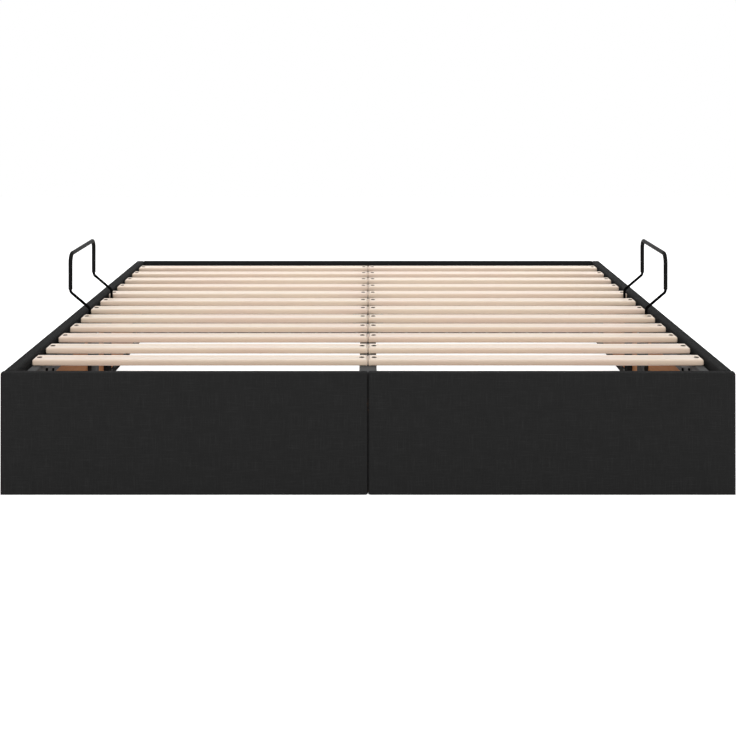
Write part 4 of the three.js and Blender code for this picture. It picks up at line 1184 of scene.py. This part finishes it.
def hinge_pin(length):
    """Up Z from its end in the fixed plate to the head, which has a hexagon socket."""
    flange_top = HINGE_FLANGE_FROM_END + HINGE_FLANGE_HEIGHT
    under_head = length - HINGE_HEAD_HEIGHT
    bm = turned(eased([
        (0, 0, 0), (HINGE_PIN_RADIUS, 0, HINGE_END_EASING), (HINGE_PIN_RADIUS, HINGE_FLANGE_FROM_END, 0),
        (HINGE_HEAD_RADIUS, HINGE_FLANGE_FROM_END, HINGE_FLANGE_EASING),
        (HINGE_HEAD_RADIUS, flange_top, HINGE_FLANGE_EASING),
        (HINGE_PIN_RADIUS, flange_top, 0), (HINGE_PIN_RADIUS, under_head, 0),
        (HINGE_HEAD_RADIUS, under_head, HINGE_HEAD_EASING), (HINGE_HEAD_RADIUS, length, HINGE_RIM_EASING),
        (HINGE_RIM_RADIUS, length, 0)]), HEX_SIDES)
    rim = ring_found(bm, HINGE_RIM_RADIUS, length)
    turns = [2 * math.pi * i / HEX_SIDES for i in range(HEX_SIDES)]
    reach = [HEX_FLAT / math.cos((a + math.pi / 6) % (math.pi / 3) - math.pi / 6) for a in turns]
    mouth, floor = [[bm.verts.new((r * math.cos(a), r * math.sin(a), z)) for a, r in zip(turns, reach)]
                    for z in (length, length - HEX_DEPTH)]
    bridge(bm, rim, mouth)
    bridge(bm, mouth, floor)
    bridge(bm, floor, ring(bm, 0, length - HEX_DEPTH, HEX_SIDES))
    return bm


plated = turned_steel("plated steel", 0.22)
for side, sign in SIDES.items():
    low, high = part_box(f"hinge_pin_{side}")
    place = Vector((high.x if sign > 0 else low.x, (low.y + high.y) / 2, (low.z + high.z) / 2))
    facing = Vector((-sign, 0, 0)).to_track_quat("Z", "Y").to_matrix().to_4x4()
    pin = hinge_pin(high.x - low.x)
    pin.transform(Matrix.Translation(place) @ facing)
    add_piece(f"hinge_pin_{side}_plated", pin, plated, "lifting_frame",
              [f"hinge_pin_{side}"])

# Gas struts: a painted cylinder with a rolled-in mouth and a black gland, and a chromed rod.
# The eye at each end turns on a stud, on the fixed plate below and on the lifting frame above.

STRUT_BASE = 0.014
STRUT_RADIUS = 0.011
STRUT_BORE = 0.0094
STRUT_BORE_START = 0.022
STRUT_SHOULDER = 0.006
STRUT_SHOULDER_EASING = 0.004
STRUT_MOUTH_BACKSET = 0.028
STRUT_LIP = 0.0022
STRUT_LIP_HEIGHT = 0.0012
STRUT_LIP_FOOT = 0.003
STRUT_EASING = 0.0004
GROOVE_FROM_MOUTH = 0.012
GROOVE_DEPTH = 0.0009
GROOVE_HALF_MOUTH = 0.0016
GROOVE_HALF_FLOOR = 0.0008
GLAND_TOP_SINK = 0.0014
GLAND_SHOULDER_SINK = 0.0034
GLAND_FOOT_SINK = 0.010
GLAND_TOP_INSET = 0.0026
GLAND_CLEARANCE = 0.0003
GLAND_ROD_EASING = 0.0006
STRUT_ROD_RADIUS = 0.005
STRUT_ROD_START = 0.040
STRUT_ROD_EASING = 0.001
STRUT_ROD_IN_EYE = 0.001
EYE_RADIUS = 0.010
EYE_WIDTH = 0.012
EYE_EASING = 0.0012
EYE_BORE = 0.0043
EYE_BORE_EASING = 0.0004
EYE_NECK = 0.0055
EYE_NECK_START = 0.007
EYE_NECK_END = 0.0165
EYE_NECK_EASING = 0.0006


def gloss_paint():
    """Black stove paint, smooth and glossy."""
    made, tree, shader = new_material("gloss black paint")
    coat = node(tree, "ShaderNodeGroup", {"Vector": own_place(tree)}, node_tree=powder_coat).outputs
    colour = tinted(tree, coat["Gloss"], (0.006, 0.006, 0.006, 1), (0.011, 0.011, 0.011, 1))
    feed(tree, shader, {"Base Color": colour, "Normal": bump(tree, coat["Peel"], 0.00002),
                        "Roughness": calc(tree, "MULTIPLY_ADD", coat["Gloss"], 0.12, 0.16)})
    return made


def strut_eye():
    """The ring of an eye across X, with its neck up Z."""
    half = EYE_WIDTH / 2
    eye = turned(eased([
        (EYE_BORE, -half, EYE_BORE_EASING), (EYE_RADIUS, -half, EYE_EASING),
        (EYE_RADIUS, half, EYE_EASING), (EYE_BORE, half, EYE_BORE_EASING)]), closed=True)
    eye.transform(Matrix.Rotation(math.pi / 2, 4, "Y"))
    neck = turned(eased([(0, EYE_NECK_START, 0), (EYE_NECK, EYE_NECK_START, 0),
                         (EYE_NECK, EYE_NECK_END, EYE_NECK_EASING), (0, EYE_NECK_END, 0)]), 32)
    add_to(eye, neck)
    return eye


def strut_cylinder(mouth):
    """The cylinder up Z from its base, with a groove rolled in below its mouth."""
    groove = mouth - GROOVE_FROM_MOUTH
    groove_floor, lip = STRUT_RADIUS - GROOVE_DEPTH, STRUT_BORE - STRUT_LIP
    return turned(eased([
        (EYE_NECK, STRUT_BASE, 0), (STRUT_RADIUS, STRUT_BASE + STRUT_SHOULDER, STRUT_SHOULDER_EASING),
        (STRUT_RADIUS, groove - GROOVE_HALF_MOUTH, STRUT_EASING),
        (groove_floor, groove - GROOVE_HALF_FLOOR, STRUT_EASING),
        (groove_floor, groove + GROOVE_HALF_FLOOR, STRUT_EASING),
        (STRUT_RADIUS, groove + GROOVE_HALF_MOUTH, STRUT_EASING),
        (STRUT_RADIUS, mouth, STRUT_LIP), (lip, mouth, STRUT_EASING), (lip, mouth - STRUT_LIP_HEIGHT, 0),
        (STRUT_BORE, mouth - STRUT_LIP_FOOT, 0), (STRUT_BORE, STRUT_BORE_START, 0),
        (EYE_NECK, STRUT_BORE_START, 0)]), 48, closed=True)


def strut_gland(mouth):
    """The guide of the rod, just inside the mouth, with a cone under the lip."""
    inner, outer = STRUT_ROD_RADIUS + GLAND_CLEARANCE, STRUT_BORE - GLAND_CLEARANCE
    top, shoulder, foot = (mouth - sink for sink in (GLAND_TOP_SINK, GLAND_SHOULDER_SINK, GLAND_FOOT_SINK))
    return turned(eased([
        (inner, foot, 0), (outer, foot, 0), (outer, shoulder, 0),
        (STRUT_BORE - GLAND_TOP_INSET, top, STRUT_EASING), (inner, top, GLAND_ROD_EASING)]), 48, closed=True)


def strut_rod(end):
    """The rod up Z, from its inner end to just inside its eye's neck."""
    return turned(eased([
        (0, STRUT_ROD_START, 0), (STRUT_ROD_RADIUS, STRUT_ROD_START, STRUT_ROD_EASING),
        (STRUT_ROD_RADIUS, end, 0), (0, end, 0)]), 48)


gloss_black = gloss_paint()
chromed = turned_steel("chromed rod", 0.09)
gland_plastic = black_plastic("gland", 0.5, 1800.0)
for side, sign in SIDES.items():
    foot, head = (Vector(joints[f"strut_{end}_pivot_{side}"]["pos_m"]) for end in ("lower", "upper"))
    length = (head - foot).length
    up = (head - foot).normalized()
    placed = Matrix.Translation(foot) @ Matrix((Vector((1, 0, 0)), up.cross(Vector((1, 0, 0))), up)
                                               ).transposed().to_4x4()
    mouth = length - STRUT_MOUTH_BACKSET
    upper_eye = strut_eye()
    upper_eye.transform(Matrix.Translation((0, 0, length)) @ Matrix.Rotation(math.pi, 4, "X"))
    barrel, rod = f"strut_cylinder_{side}", f"strut_rod_{side}"
    for name, shape, finish, body, slot, replaced in (
            (barrel + "_painted", strut_cylinder(mouth), gloss_black, barrel, "black_steel", [barrel]),
            (f"strut_gland_{side}", strut_gland(mouth), gland_plastic, barrel, "sleeve", []),
            (f"strut_lower_eye_{side}", strut_eye(), plated, barrel, "bright_steel", []),
            (rod + "_chromed", strut_rod(length - EYE_NECK_END + STRUT_ROD_IN_EYE), chromed, rod,
             "bright_steel", [rod]),
            (f"strut_upper_eye_{side}", upper_eye, plated, rod, "bright_steel", [])):
        shape.transform(placed)
        add_piece(name, shape, finish, body, replaced)

# Studio: a white floor, and two large soft lamps, one high up past the head end and one behind the camera.
# The camera, and anything that mirrors or lets through, sees the floor and the world as white. The floor is
# lit as well, but the bed's shadow hardly shows on it.

FLOOR_SIZE = 14
FLOOR_GLOW = 0.8
FLOOR_SHADE = 0.75
WORLD_LIGHT = 0.35
LAMPS = {"overhead lamp": {"place": (0, 2.2, 2.7), "size": 4, "power": 106},
         "front lamp": {"place": (0, -7.0, 2.2), "size": 6, "power": 320}}
LAMP_AIM = (0, 0, 0.25)


def seen_directly(tree):
    """1 for rays from the camera, from gloss and through glass."""
    ray = node(tree, "ShaderNodeLightPath").outputs
    mirrored = calc(tree, "MAXIMUM", ray["Is Camera Ray"], ray["Is Glossy Ray"])
    return calc(tree, "MAXIMUM", mirrored, ray["Is Transmission Ray"])


def floor_finish():
    """A matt floor that is lit, and that glows as well where it is seen."""
    made, tree, shader = new_material("studio floor", specular=0.0)
    feed(tree, shader, {"Base Color": (FLOOR_SHADE, FLOOR_SHADE, FLOOR_SHADE, 1), "Roughness": 0.9,
                        "Emission Color": (1, 1, 1, 1),
                        "Emission Strength": calc(tree, "MULTIPLY", seen_directly(tree), FLOOR_GLOW)})
    return made


floor_mesh = bpy.data.meshes.new("floor")
half = FLOOR_SIZE / 2
floor_mesh.from_pydata([(-half, -half, 0), (half, -half, 0), (half, half, 0), (-half, half, 0)], [],
                       [(0, 1, 2, 3)])
floor_mesh.materials.append(floor_finish())
add_object("floor", floor_mesh)

world = bpy.data.worlds.new("studio")
world.use_nodes = True
sky = world.node_tree
strength = calc(sky, "MULTIPLY_ADD", seen_directly(sky), 1 - WORLD_LIGHT, WORLD_LIGHT)
feed(sky, sky.nodes["Background"], {"Color": (1, 1, 1, 1), "Strength": strength})
bpy.context.scene.world = world

for name, given in LAMPS.items():
    lamp_data = bpy.data.lights.new(name, "AREA")
    lamp_data.size = given["size"]
    lamp_data.energy = given["power"]
    lamp = add_object(name, lamp_data)
    lamp.location = given["place"]
    lamp.rotation_euler = (Vector(LAMP_AIM) - lamp.location).to_track_quat("-Z", "Y").to_euler()
    lamp.visible_camera = False
    lamp.visible_glossy = False
bpy.context.scene.view_settings.view_transform = "Standard"
